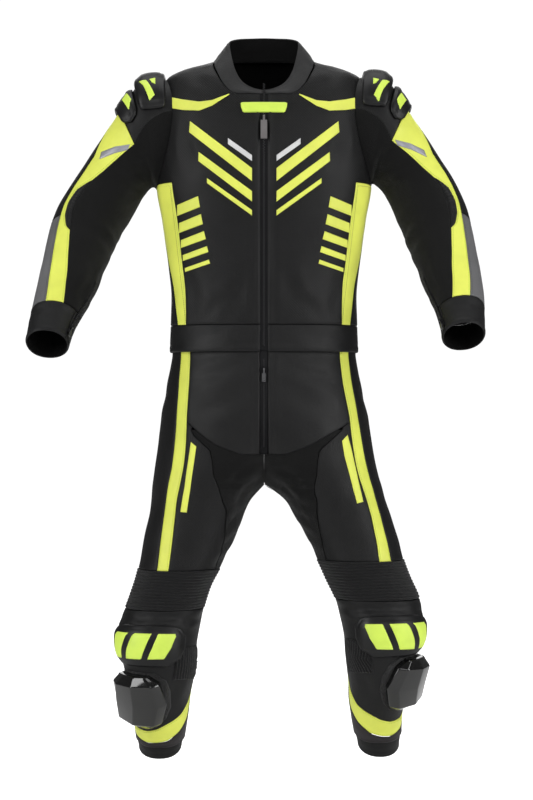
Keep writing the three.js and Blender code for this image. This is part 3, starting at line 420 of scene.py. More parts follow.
# Trousers: the seat and hip, the crotch, the deep folds over the knee, and the ankle
both(leg, 10, 1.6, (548, 8), (572, 26), (586, 46), shift=3)
both(leg, 14, 1.6, (600, 4), (634, 20), (650, 40), shift=-6)
both(leg, 8, 2.0, (742, -30), (762, -22), (790, -26), shift=4)
both(leg, 8, 2.6, (764, -58), (790, -44), (830, -52), shift=-4)
both(leg, 9, 2.6, (826, -84), (840, -58), (862, -44), shift=3)
both(leg, 9, 2.2, (868, -92), (884, -66), (900, -48), shift=-3)
both(leg, 10, 2.0, (906, -96), (920, -70), (934, -30), shift=2)
both(leg, 12, 1.5, (770, 30), (800, 12), (850, 4), shift=8)
both(leg, 12, 1.8, (600, 70), (624, 92), (650, 112), shift=6)
both(leg, 14, 2.6, (760, 110), (782, 145), (790, 178), shift=-6)
both(leg, 12, 2.4, (806, 100), (826, 140), (838, 186), shift=5)
both(leg, 14, 2.2, (880, 96), (900, 140), (912, 190), shift=-4)
both(leg, 11, 3.4, (986, 110), (1000, 160), (990, 220), shift=4)
both(leg, 10, 3.0, (1020, 100), (1034, 160), (1022, 236), shift=-4)
both(leg, 10, 2.4, (1060, 104), (1072, 160), (1064, 240), shift=5)
both(leg, 6.5, 4.6, (1014, -58), (1020, -20), (1024, 30), (1016, 76), shift=2)
both(leg, 5.5, 3.4, (1026, -76), (1030, -40), (1028, -8), shift=-1)
both(leg, 5, 2.6, (1030, 88), (1030, 66), (1026, 50), shift=2)
both(leg, 9, 1.8, (1128, -36), (1150, -24), (1176, -20), shift=4)
both(leg, 8, 1.6, (1196, -70), (1210, -40), (1218, -6), shift=2)
both(leg, 8, 2.0, (1120, 130), (1150, 170), (1170, 220), shift=-6)
both(leg, 7, 2.4, (1250, -60), (1252, 0), (1249, 60), shift=1)
both(leg, 7, 1.8, (1246, 120), (1250, 180), (1246, 250), shift=-2)


# Finishes
def shader(name, colour, rough, **sockets):
    made = bpy.data.materials.new(name)
    made.use_nodes = True
    made.diffuse_color = (*colour, 1)
    nodes, links = made.node_tree.nodes, made.node_tree.links
    base = nodes["Principled BSDF"]
    base.inputs["Base Color"].default_value = (*colour, 1)
    base.inputs["Roughness"].default_value = rough
    for key, value in sockets.items():
        base.inputs[key.replace("_", " ")].default_value = value
    return made, nodes, links, base


def node(nodes, links, kind, linked=None, **settings):
    made = nodes.new(kind)
    for key, value in settings.items():
        if key in made.inputs:
            made.inputs[key].default_value = value
        else:
            setattr(made, key, value)
    for key, source in (linked or {}).items():
        links.new(source, made.inputs[key])
    return made


def tone(nodes, links, base, colour, source, low=0.72, high=1.18):
    """Colour that varies over the piece"""
    dark = tuple(min(c * low, 1) for c in colour)
    light = tuple(min(c * high, 1) for c in colour)
    mix = node(nodes, links, "ShaderNodeMix", {"Factor": source}, data_type="RGBA")
    mix.inputs["A"].default_value = (*dark, 1)
    mix.inputs["B"].default_value = (*light, 1)
    links.new(mix.outputs["Result"], base.inputs["Base Color"])
    return mix


def rough_range(nodes, links, base, source, low, high):
    spread = node(nodes, links, "ShaderNodeMapRange", {"Value": source})
    spread.inputs["From Min"].default_value = 0.3
    spread.inputs["From Max"].default_value = 0.7
    spread.inputs["To Min"].default_value = low
    spread.inputs["To Max"].default_value = high
    links.new(spread.outputs["Result"], base.inputs["Roughness"])


def bump(nodes, links, base, source, depth, strength=1.0, under=None):
    linked = {"Height": source}
    if under:
        linked["Normal"] = under.outputs["Normal"]
    made = node(nodes, links, "ShaderNodeBump", linked, Strength=strength, Distance=depth)
    links.new(made.outputs["Normal"], base.inputs["Normal"])
    return made


def leather(name, colour, rough=(0.42, 0.58), holes=False, grain=1.0, **sockets):
    """Pebbled hide with broad tone changes and, where asked, rows of punched holes coloured near-black:
    partly the black lining under them, partly painted shade inside them
    """
    made, nodes, links, base = shader(name, colour, rough[0], **sockets)
    base.inputs["Specular IOR Level"].default_value = 0.32
    where = nodes.new("ShaderNodeTexCoord")
    spot = where.outputs["Object"]
    pebble = node(nodes, links, "ShaderNodeTexVoronoi", {"Vector": spot},
                  feature="DISTANCE_TO_EDGE", Scale=760)
    pores = node(nodes, links, "ShaderNodeTexNoise", {"Vector": spot}, Scale=1500, Detail=3)
    wrinkle = node(nodes, links, "ShaderNodeTexNoise", {"Vector": spot}, Scale=150, Detail=5, Distortion=0.6)
    cloud = node(nodes, links, "ShaderNodeTexNoise", {"Vector": spot}, Scale=14, Detail=6, Roughness=0.6)
    mix = tone(nodes, links, base, colour, cloud.outputs["Fac"])
    rough_range(nodes, links, base, cloud.outputs["Fac"], *rough)
    under = bump(nodes, links, base, wrinkle.outputs["Fac"], 0.0006, 0.5 * grain)
    under = bump(nodes, links, base, pores.outputs["Fac"], 0.0001, 0.4 * grain, under)
    under = bump(nodes, links, base, pebble.outputs["Distance"], 0.00035, 0.7 * grain, under)
    if holes:
        flat = node(nodes, links, "ShaderNodeUVMap", uv_map="cloth")
        turn = node(nodes, links, "ShaderNodeMapping", {"Vector": flat.outputs["UV"]})
        turn.inputs["Rotation"].default_value = (0, 0, math.radians(45))
        dots = node(nodes, links, "ShaderNodeTexVoronoi", {"Vector": turn.outputs["Vector"]},
                    voronoi_dimensions="2D", Scale=280, Randomness=0)
        rim = node(nodes, links, "ShaderNodeMapRange", {"Value": dots.outputs["Distance"]})
        for key, value in (("From Min", 0.16), ("From Max", 0.26), ("To Min", 0), ("To Max", 1)):
            rim.inputs[key].default_value = value
        # Painted shade: the holes are coloured darker than the black lining under them, as shade inside each
        # hole
        dark = node(nodes, links, "ShaderNodeMix", {"Factor": rim.outputs["Result"],
                    "B": mix.outputs["Result"]}, data_type="RGBA")
        dark.inputs["A"].default_value = (0.001, 0.001, 0.001, 1)
        links.new(dark.outputs["Result"], base.inputs["Base Color"])
        bump(nodes, links, base, rim.outputs["Result"], 0.0008, 0.9, under)
    return made


def knit(name, colour, pitch=1400, rough=0.85, depth=0.0002, **sockets):
    """Stretch cloth: fine ribs along the limb crossed by finer threads"""
    made, nodes, links, base = shader(name, colour, rough, **sockets)
    base.inputs["Specular IOR Level"].default_value = 0.2
    flat = node(nodes, links, "ShaderNodeUVMap", uv_map="cloth")
    where = nodes.new("ShaderNodeTexCoord")
    rib = node(nodes, links, "ShaderNodeTexWave", {"Vector": flat.outputs["UV"]}, Scale=pitch,
               Distortion=0.4)
    cross = node(nodes, links, "ShaderNodeTexWave", {"Vector": flat.outputs["UV"]}, bands_direction="Y",
                 Scale=pitch * 0.8, Distortion=0.8)
    spot = where.outputs["Object"]
    fuzz = node(nodes, links, "ShaderNodeTexNoise", {"Vector": spot}, Scale=900, Detail=4)
    cloud = node(nodes, links, "ShaderNodeTexNoise", {"Vector": spot}, Scale=18, Detail=5)
    tone(nodes, links, base, colour, cloud.outputs["Fac"], 0.75, 1.25)
    under = bump(nodes, links, base, fuzz.outputs["Fac"], depth, 0.4)
    under = bump(nodes, links, base, cross.outputs["Fac"], depth, 0.5, under)
    bump(nodes, links, base, rib.outputs["Fac"], depth, 0.8, under)
    return made


def moulded(name, colour, rough=(0.3, 0.45), scale=500, depth=0.0001, **sockets):
    """Plastic or rubber with a fine mould texture and handling marks"""
    made, nodes, links, base = shader(name, colour, rough[0], **sockets)
    where = nodes.new("ShaderNodeTexCoord")
    spot = where.outputs["Object"]
    peel = node(nodes, links, "ShaderNodeTexNoise", {"Vector": spot}, Scale=scale, Detail=3)
    marks = node(nodes, links, "ShaderNodeTexNoise", {"Vector": spot}, Scale=34, Detail=8)
    tone(nodes, links, base, colour, marks.outputs["Fac"], 0.8, 1.15)
    rough_range(nodes, links, base, marks.outputs["Fac"], *rough)
    bump(nodes, links, base, peel.outputs["Fac"], depth, 0.5)
    return made


def reflective(name):
    """Grey reflective tape: a fine honeycomb under a clear skin"""
    made, nodes, links, base = shader(name, (0.34, 0.34, 0.37), 0.35, Metallic=0.35)
    flat = node(nodes, links, "ShaderNodeTexCoord")
    comb = node(nodes, links, "ShaderNodeTexVoronoi", {"Vector": flat.outputs["Object"]},
                feature="DISTANCE_TO_EDGE", Scale=420, Randomness=0.1)
    cloud = node(nodes, links, "ShaderNodeTexNoise", {"Vector": flat.outputs["Object"]}, Scale=40, Detail=4)
    tone(nodes, links, base, (0.36, 0.36, 0.4), cloud.outputs["Fac"], 0.7, 1.3)
    bump(nodes, links, base, comb.outputs["Distance"], 0.0002, 0.4)
    return made


BLACK = (0.005, 0.005, 0.0053)
LIME = (0.8, 0.87, 0.13)
LIME_RUBBER = (0.68, 0.92, 0.11)
FINISH = {
    "black leather": leather("black_leather", BLACK),
    "punched leather": leather("punched_black_leather", BLACK, holes=True),
    "soft leather": leather("soft_black_leather", (0.006, 0.006, 0.0065), (0.5, 0.66)),
    # Painted glow: the lime leather gives off light of its own colour, though it is no lamp
    "lime leather": leather("lime_leather", LIME, (0.4, 0.55), grain=0.7,
                            Emission_Color=(*LIME, 1), Emission_Strength=0.12),
    "grey leather": leather("grey_leather", (0.15, 0.15, 0.155), (0.4, 0.55)),
    "ash leather": leather("ash_leather", (0.028, 0.024, 0.026), (0.42, 0.58)),
    "white leather": leather("white_leather", (0.82, 0.82, 0.82), (0.38, 0.5), grain=0.6),
    "stretch": knit("black_stretch", (0.005, 0.005, 0.005), Sheen_Weight=0.1, Sheen_Roughness=0.4),
    "ribbed": knit("black_ribbed_cloth", (0.007, 0.007, 0.0075), 900, 0.7, Sheen_Weight=0.12),
    "lining": knit("black_lining", (0.004, 0.004, 0.004), 700, 0.95),
    "loop": knit("black_loop_pile", (0.006, 0.006, 0.006), 500, 1.0, 0.0008, Sheen_Weight=0.3),
    "armour": moulded("black_armour", (0.007, 0.007, 0.0075), (0.35, 0.5),
                      Specular_IOR_Level=0.35),
    # Painted glow: the lime rubber gives off light of its own colour, though it is no lamp
    "lime rubber": moulded("lime_rubber", LIME_RUBBER, (0.42, 0.55), 700,
                           Emission_Color=(*LIME_RUBBER, 1), Emission_Strength=0.12),
    "gloss": moulded("gloss_black_plastic", (0.006, 0.006, 0.006), (0.08, 0.16), 60, 0.0003,
                     Coat_Weight=0.5),
    "zip tape": knit("zip_tape", (0.008, 0.008, 0.009), 1800, 0.8),
    "zip coil": moulded("zip_coil", (0.02, 0.02, 0.022), (0.3, 0.4), Coat_Weight=0.2),
    "metal": moulded("dark_nickel", (0.22, 0.22, 0.23), (0.22, 0.4), 400, Metallic=0.9),
    "rubber": moulded("grey_rubber", (0.16, 0.15, 0.15), (0.4, 0.6), 600),
    "tape": reflective("reflective_tape"),
    "black thread": knit("black_thread", (0.022, 0.022, 0.024), 4000, 0.6),
    "lime thread": knit("lime_thread", (0.5, 0.7, 0.05), 4000, 0.6),
}


# Making a piece
def finished(name, mesh, materials, node_name=None, body="suit"):
    piece = bpy.data.objects.new(name, mesh)
    bpy.context.collection.objects.link(piece)
    for material in materials:
        mesh.materials.append(FINISH[material])
    mesh.shade_smooth()
    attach(piece, body)
    if node_name:
        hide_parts(*([node_name] if isinstance(node_name, str) else node_name))
    return piece


def sheet_mesh(name, points, normals=None, flat=None, missing=None):
    """A sheet of quads through a grid of points, its faces turned to the normals, its flat place a UV map"""
    rows, cols = points.shape[:2]
    bm = bmesh.new()
    bmesh.ops.create_grid(bm, x_segments=cols - 1, y_segments=rows - 1, size=1)
    if missing is not None:
        gone = []
        for face in bm.faces:
            middle = face.calc_center_median()
            i, j = int((middle.y + 1) / 2 * (rows - 1)), int((middle.x + 1) / 2 * (cols - 1))
            if missing[i, j]:
                gone.append(face)
        bmesh.ops.delete(bm, geom=gone, context="FACES")
    mesh = bpy.data.meshes.new(name)
    bm.to_mesh(mesh)
    bm.free()
    place = np.empty(len(mesh.vertices) * 3)
    mesh.vertices.foreach_get("co", place)
    place = place.reshape(-1, 3)
    i = np.rint((place[:, 1] + 1) / 2 * (rows - 1)).astype(int)
    j = np.rint((place[:, 0] + 1) / 2 * (cols - 1)).astype(int)
    mesh.vertices.foreach_set("co", (points[i, j] * MM).ravel())
    if flat is not None:
        layer = mesh.uv_layers.new(name="cloth")
        corner = np.empty(len(mesh.loops), int)
        mesh.loops.foreach_get("vertex_index", corner)
        layer.data.foreach_set("uv", (flat[i[corner], j[corner]] * MM).ravel())
    if normals is not None:
        across, down = np.gradient(points, axis=1), np.gradient(points, axis=0)
        if np.sum(np.cross(across, down) * normals) < 0:
            mesh.flip_normals()
    mesh.update()
    return mesh


def bake(piece):
    """Takes the result of the modifiers as the piece's own mesh"""
    shown = piece.evaluated_get(bpy.context.evaluated_depsgraph_get())
    mesh = bpy.data.meshes.new_from_object(shown)
    piece.modifiers.clear()
    piece.data = mesh
    return piece


def thicken(piece, thick, lining=True):
    wall = piece.modifiers.new("wall", "SOLIDIFY")
    wall.thickness = thick * MM
    wall.offset = -1
    wall.material_offset = 1 if lining else 0
    return piece


def largest_part(piece):
    """Keeps the biggest connected part of a trimmed wall"""
    bm = bmesh.new()
    bm.from_mesh(piece.data)
    left, parts = set(bm.verts), []
    while left:
        edge, part = [left.pop()], set()
        while edge:
            v = edge.pop()
            part.add(v)
            for link in v.link_edges:
                other = link.other_vert(v)
                if other in left:
                    left.discard(other)
                    edge.append(other)
        parts.append(part)
    parts.sort(key=len)
    bmesh.ops.delete(bm, geom=[v for part in parts[:-1] for v in part], context="VERTS")
    bm.to_mesh(piece.data)
    bm.free()


def trim(piece, *spaces):
    for space in spaces:
        cut = piece.modifiers.new("trim", "BOOLEAN")
        cut.operation = "DIFFERENCE"
        cut.solver = "MANIFOLD"
        cut.object = space
    bake(piece)
    largest_part(piece)
    piece.data.shade_smooth()
    piece.data.set_sharp_from_angle(angle=math.radians(40))


def ring_space(name, rows):
    """A closed skin through rings of points, for trimming; its first and last rings are single points"""
    wrapped = np.concatenate([rows, rows[:, :1]], axis=1)
    mesh = sheet_mesh(name, wrapped)
    bm = bmesh.new()
    bm.from_mesh(mesh)
    bmesh.ops.remove_doubles(bm, verts=bm.verts, dist=1e-6)
    bmesh.ops.recalc_face_normals(bm, faces=bm.faces)
    bm.to_mesh(mesh)
    bm.free()
    space = bpy.data.objects.new(name, mesh)
    bpy.context.collection.objects.link(space)
    space.hide_render = True
    return space


def form_space(name, form, start, end, grow, segments=72, step=8):
    at = np.linspace(start, end, int((end - start) / step) + 1)
    phi = np.arange(segments) * 360 / segments
    skin = cloth(form, phi[None] + 0 * at[:, None], at[:, None] + 0 * phi[None], grow)[0]
    cap = [np.repeat(form.middle(np.array([a])), segments, 0)[None] for a in (start, end)]
    return ring_space(name, np.concatenate([cap[0], skin, cap[1]]))


def spread(length, cell, tight=True):
    """Shares along an edge, closer together at its two ends, where the cloth rolls under"""
    if not tight or length < 16:
        return np.linspace(0, 1, max(3, int(round(length / (cell if not tight else 1.8)))) + 1)
    near = np.array([0, 0.8, 2.0])
    middle = np.linspace(4, length - 4, max(2, int(round((length - 8) / cell)) + 1))
    return np.concatenate([near, middle, length - near[::-1]]) / length


def arcs(points, axis):
    step = np.linalg.norm(np.diff(points, axis=axis), axis=-1)
    start = np.zeros_like(np.take(step, [0], axis))
    return np.concatenate([start, np.cumsum(step, axis)], axis)


class Grid:
    """Places of a panel between two seams, with how far each is from the panel's four edges.
    A step gives inner seams that the panel keeps to beyond one row: below it, or above it"""

    def __init__(self, form, top, bottom, low, high, cell=5.0, cell_down=None, step=None):
        down = top + SEAM + spread(bottom - top, cell_down or cell) * (bottom - top - 2 * SEAM)
        if step:
            down = np.append(down[np.abs(down - step["at"]) > 1.2], step["at"])
            down.sort()
        at = down
        seams = [along(low, at), along(high, at)]
        inner = [along(step[k], at) for k in ("low", "high") if step and k in step]
        lines = sorted([*seams, *inner], key=lambda line: line.mean())
        for k, sign in ((0, 1), (-1, -1)):
            degree = np.linalg.norm(form.point(lines[k] + 1, at) - form.point(lines[k] - 1, at), axis=-1) / 2
            lines[k] = lines[k] + sign * SEAM / 2 / np.maximum(degree, 0.2)
        main = 1 if step and "low" in step else 0
        parts = []
        for k in range(len(lines) - 1):
            probe = lines[k][:, None] + (lines[k + 1] - lines[k])[:, None] * np.linspace(0, 1, 12)
            widest = arcs(form.point(probe, at[:, None]), 1)[:, -1].max()
            even = np.linspace(0, 1, max(2, round(widest / cell)) + 1)
            share = spread(widest, cell) if k == main else even
            part = lines[k][:, None] + (lines[k + 1] - lines[k])[:, None] * share
            parts.append(part if k == len(lines) - 2 else part[:, :-1])
        self.phi = np.concatenate(parts, 1)
        self.at = np.repeat(at[:, None], self.phi.shape[1], 1)
        self.p = form.point(self.phi, self.at)
        self.across = arcs(self.p, 1)
        length = arcs(self.p, 0)
        self.from_top, self.from_end = length, length[-1:] - length
        first, last = self.across[:, :1], self.across[:, -1:]
        self.missing = None
        if step:
            a = sum(part.shape[1] for part in parts[:main])
            b = a + parts[main].shape[1] - (1 if main == len(parts) - 1 else 0)
            beyond = at > step["at"] + 0.01 if step["side"] == "below" else at < step["at"] - 0.01
            first = np.where(beyond[:, None], self.across[:, a:a + 1], first)
            last = np.where(beyond[:, None], self.across[:, b:b + 1], last)
            outer = np.ones(self.phi.shape[1], bool)
            outer[a:b + 1] = False
            row = int(np.argmin(np.abs(at - step["at"])))
            edge = np.abs(length - length[row])
            if step["side"] == "below":
                self.from_end = np.where(outer & (at[:, None] <= at[row]), edge, self.from_end)
            else:
                self.from_top = np.where(outer & (at[:, None] >= at[row]), edge, self.from_top)
            cells = np.ones(self.phi.shape[1] - 1, bool)
            cells[a:b] = False
            rows = (at[:-1] + at[1:]) / 2
            rows = rows > step["at"] if step["side"] == "below" else rows < step["at"]
            self.missing = rows[:, None] & cells
        self.from_low = np.abs(self.across - first)
        self.from_high = np.abs(last - self.across)
        self.share = np.clip(self.from_low / np.maximum(last - first, 1), 0, 1)
        self.width, self.length = (last - first).max(), length[-1].max()


THREADS = {}


def lay_thread(points, normals, kind, region, keep=None):
    THREADS.setdefault((kind, region), []).append((points, normals, keep))


def edge_line(values, distance, wanted, axis):
    """The line across a grid at a wanted distance from one of its edges"""
    values, distance = (values, distance) if axis == 1 else (values.swapaxes(0, 1), distance.T)
    line = []
    for row, gone in zip(values, distance):
        order = np.argsort(gone)
        line.append([np.interp(wanted, gone[order], row[order, k]) for k in range(3)])
    return np.array(line)


def panel(name, node_name, form, top, bottom, low, high, outer, *, cell=5.0, cell_down=None, lift=0.0,
          thick=LEATHER, relief=None, sewn="lhtb", rows=1, thread="black thread", region="suit", roll=1.0,
          held="hung", rests=("collar",), space=(), keep=None, step=None):
    grid = Grid(form, top, bottom, low, high, cell, cell_down, step)
    nearest = np.minimum.reduce([grid.from_low, grid.from_high, grid.from_top, grid.from_end])
    height = fold_height(form, grid.p) + lift - 1.1 * roll * np.clip(1 - nearest / 2.8, 0, 1) ** 2
    if relief:
        height = height + relief(grid)
    normals = outward(form, grid.phi, grid.at)
    points = grid.p + normals * height[..., None]
    flat = np.stack([grid.across, grid.at], -1)
    mesh = sheet_mesh(name, points, normals, flat, grid.missing)
    piece = finished(name, mesh, [outer, "lining"], node_name)
    thicken(piece, thick)
    if space:
        bake(piece)
        trim(piece, *space)
    for side in sewn:
        for k in range(rows):
            gone = {"l": grid.from_low, "h": grid.from_high, "t": grid.from_top, "b": grid.from_end}[side]
            wanted = 3.0 + 2.6 * k
            axis = 1 if side in "lh" else 0
            line = edge_line(points, gone, wanted, axis)
            face = edge_line(normals, gone, wanted, axis)
            lay_thread(line, face, thread, region, keep)
    width, length = grid.width, grid.length
    across, down = np.diff(points, axis=1)[:-1], np.diff(points, axis=0)[:, :-1]
    cells = np.linalg.norm(np.cross(across, down), axis=-1)
    area = cells.sum() if grid.missing is None else cells[~grid.missing].sum()
    if space:
        area = sum(f.area for f in piece.data.polygons if f.material_index == 0) / MM / MM * 0.98
    area = min(area, width * length)
    return piece


def patch(name, form, stations, outer, *, front=True, guess=20.0, lift=0.25, thick=0.8, cell=3.0,
          thread=None, region="suit", body="suit", relief=None):
    """A flat piece sewn on a panel: pairs of corners along it, joined by straight edges"""
    first, last = np.array([s[0] for s in stations], float), np.array([s[1] for s in stations], float)
    steps = [0.0]
    unit = PX if front else 1.0
    for k in range(len(first) - 1):
        span = max(np.linalg.norm(first[k + 1] - first[k]), np.linalg.norm(last[k + 1] - last[k])) * unit
        count = max(1, int(round(span / cell)))
        steps += [k + (m + 1) / count for m in range(count)]
    steps = np.array(steps)
    knots = np.arange(len(first))
    edge = [np.stack([np.interp(steps, knots, side[:, d]) for d in (0, 1)], -1) for side in (first, last)]
    wide = np.linalg.norm(edge[1] - edge[0], axis=-1).max() * unit
    share = np.linspace(0, 1, max(2, int(round(wide / cell))) + 1)
    spot = edge[0][:, None] + (edge[1] - edge[0])[:, None] * share[:, None]
    if front:
        rest = None
        if isinstance(form, Sleeve):
            z = -(623.2 + (spot[..., 1] - 400) * PX * 0.975)
            rest = np.interp(-z, -ARM["z" + form.key], ARM["at"])
        phi, at = seen(form, spot[..., 0], spot[..., 1], guess, rest)
    else:
        at, phi = spot[..., 0], spot[..., 1]
    points, normals = cloth(form, phi, at, lift + thick)
    from_side, from_end = arcs(points, 1), arcs(points, 0)
    near = np.minimum.reduce([from_side, from_side[:, -1:] - from_side, from_end, from_end[-1:] - from_end])
    points = points - normals * (0.35 * np.clip(1 - near / 1.5, 0, 1) ** 2)[..., None]
    if relief:
        points = points + normals * (relief(from_side) * np.clip(near / 2, 0, 1))[..., None]
    flat = np.stack([from_side, from_end], -1)
    piece = finished(name, sheet_mesh(name, points, normals, flat), [outer], body=body)
    thicken(piece, thick, lining=False)
    if thread:
        for side, axis in ((from_side, 1), (from_side[:, -1:] - from_side, 1)):
            line, face = (edge_line(grid, side, 1.8, axis) for grid in (points, normals))
            lay_thread(line, face, thread, region)
    return piece


# Neck
def closed_curve(points, t):
    """A smooth closed curve through points, its pace set by the square root of each step"""
    count = len(points)
    place = (np.asarray(t, float) % 1) * count
    i = np.floor(place).astype(int)
    w = (place - i)[..., None]
    p0, p1, p2, p3 = (points[(i + k) % count] for k in (-1, 0, 1, 2))
    steps = ((p0, p1), (p1, p2), (p2, p3))
    d0, d1, d2 = (np.linalg.norm(q - p, axis=-1)[..., None] ** 0.5 for p, q in steps)
    t1 = ((p1 - p0) / d0 - (p2 - p0) / (d0 + d1) + (p2 - p1) / d1) * d1
    t2 = ((p2 - p1) / d1 - (p3 - p1) / (d1 + d2) + (p3 - p2) / d2) * d1
    return (
        p1 + t1 * w + (-3 * p1 + 3 * p2 - 2 * t1 - t2) * w**2 + (2 * p1 - 2 * p2 + t1 + t2) * w**3
    )


def neck_loop(x, y, z):
    right = vector(x, y, z)
    left = right[1:-1][::-1] * [-1, 1, 1]
    return np.concatenate([right, left])


SEAM_PLAN = neck_loop(NECK["x"], NECK["y"], 0)
COLLAR_TOP = neck_loop(NECK["top_x"], NECK["top_y"], NECK["top_z"])


def skin_height(x, y):
    low, high = np.full_like(x, -120), np.full_like(x, 38)
    for _ in range(30):
        z = (low + high) / 2
        n = column(BODY, "n", -z)
        share = np.abs(x / column(BODY, "a", -z)) ** n
        share = share + np.abs((y - column(BODY, "y", -z)) / column(BODY, "b", -z)) ** n
        low, high = np.where(share < 1, z, low), np.where(share < 1, high, z)
    return low


def neck_outward(t):
    run = closed_curve(SEAM_PLAN, t + 1e-4) - closed_curve(SEAM_PLAN, t - 1e-4)
    run /= np.linalg.norm(run, axis=-1, keepdims=True)
    return vector(run[..., 1], -run[..., 0], 0)


def neck_seam(t):
    p = closed_curve(SEAM_PLAN, t)
    return vector(p[..., 0], p[..., 1], skin_height(p[..., 0], p[..., 1]))


def neck_space():
    t = np.arange(80) / 80
    seam = neck_seam(t) + neck_outward(t) * 0.8 - [0, 0, 1.4]
    away = seam - [0, -15, -60]
    away /= np.linalg.norm(away, axis=-1, keepdims=True)
    inside, above = np.array([0, -20, -50.0]), np.array([0, -10, 130.0])
    rows = [np.repeat(inside[None], 80, 0), (seam + inside) / 2, seam, seam + 70 * away]
    return ring_space("neck_space", np.array(rows + [np.repeat(above[None], 80, 0)]))


def collar():
    ends = 1.2 / 560
    t = ends + (1 - 2 * ends) * np.linspace(0, 1, 121)
    share = np.array([0, 0.03, 0.07, 0.14, 0.22, 0.31, 0.4, 0.5, 0.6, 0.7, 0.8, 0.88, 0.94, 0.98, 1])
    out = neck_outward(t)
    foot = neck_seam(t) - 0.8 * out
    top = closed_curve(COLLAR_TOP, t)
    bulge = np.interp(share, [0, 0.3, 0.7, 1], [0, 2.4, 2, 0])
    roll = -1.4 * np.clip(1 - share * 16, 0, 1) ** 2 - 1.2 * np.clip(1 - (1 - share) * 14, 0, 1) ** 2
    points = foot + (top - foot) * share[:, None, None]
    points[0] -= out * 2.6 + [0, 0, 5]
    ripple = 0.7 * np.sin(t * 41 + 3 * share[:, None]) * np.sin(np.pi * share)[:, None]
    points = points + out * ((bulge + roll)[:, None] + ripple)[..., None]
    flat = np.stack([arcs(points, 1), arcs(points, 0)], -1)
    normals = np.repeat(out[None], len(share), 0)
    piece = finished("collar_leather", sheet_mesh("collar_leather", points, normals, flat),
                     ["soft leather", "lining"], "collar")
    thicken(piece, COLLAR_WALL)
    for row in (2, -4):
        lay_thread(points[row] + out * 0.2, normals[row], "black thread", "jacket")


# Jacket
def zip_edge(at):
    return angle_at(ZIP_HALF / column(BODY, "a", at), 2.3)


def placket(grid):
    """The folded edge beside the zip, and the softer line of its facing"""
    x = np.abs(grid.p[..., 0])
    return 1.9 * np.exp(-(((x - 12.5) / 2.6) ** 2)) + 0.8 * np.exp(-(((x - 29) / 4.5) ** 2)) \
        - 1.2 * np.exp(-(((x - 21) / 5) ** 2)) * 0.4


neck_cut = neck_space()
arm_cut = {
    key: form_space("arm_space_" + key, sleeve[key], SLEEVE_ROOT, ARMHOLE_REACH, -LEATHER - SEAM)
    for key in SIDE
}
whole_body = Torso(1)
whole_body.creases = torso["R"].creases + torso["L"].creases
body_cut = form_space("body_space", whole_body, -38, HEM, 0.9, 96)


def space_test(*spaces):
    """Tells which points lie outside some trimming spaces"""
    trees = []
    for space in spaces:
        bm = bmesh.new()
        bm.from_mesh(space.data)
        trees.append(BVHTree.FromBMesh(bm))
        bm.free()

    def outside(p):
        for tree in trees:
            near, normal, _, _ = tree.find_nearest(Vector(p) * MM)
            if (Vector(p) * MM - near).dot(normal) < 0.0012:
                return False
        return True

    return outside


off_body = space_test(body_cut)
off_holes = space_test(arm_cut["R"], arm_cut["L"], neck_cut)
holes = [arm_cut["R"], arm_cut["L"], neck_cut]

for key, side in SIDE.items():
    form = torso[key]
    arm = arm_cut[key]

    panel(f"front_{key}_leather", f"front_{key}", form, -38, BAND_TOP, zip_edge, FRONT_SIDE,
          "punched leather", relief=placket, sewn="lhb", region="jacket", space=(arm, neck_cut),
          keep=off_holes, step={"at": UNDERARM, "side": "below", "high": SIDE_STRIPE_IN})
    panel(f"side_stripe_{key}_leather", f"side_stripe_{key}", form, UNDERARM, BAND_TOP, SIDE_STRIPE_IN,
          SIDE_STRIPE_OUT, "lime leather", sewn="lh", thread="lime thread", region="jacket", space=(arm,),
          keep=off_holes)


def far(line):
    return lambda at: 360 - along(line, at)


panel("back_leather", "back", whole_body, -38, BAND_TOP, FRONT_SIDE, far(FRONT_SIDE), "black leather",
      cell=6, sewn="lhb", region="jacket", space=tuple(holes), keep=off_holes,
      step={"at": UNDERARM, "side": "below", "low": SIDE_STRIPE_OUT, "high": far(SIDE_STRIPE_OUT)})


def band_fold(grid):
    """Elastic gathers of the band at the sides and back, and its turned lower edge"""
    turned = 0.9 * np.exp(-(((grid.from_end - 7) / 2.2) ** 2))
    turned = turned - 0.5 * np.exp(-(((grid.from_end - 12) / 2) ** 2))
    return turned + 0.8 * np.exp(-(((grid.from_low - 6) / 2.4) ** 2)) \
        + 0.8 * np.exp(-(((grid.from_high - 6) / 2.4) ** 2))


panel("hem_band_leather", "hem_band", whole_body, BAND_TOP, HEM, zip_edge, lambda at: 360 - zip_edge(at),
      "black leather", relief=band_fold, sewn="lhtb", region="jacket", rests=("back",), roll=1.4)
collar()

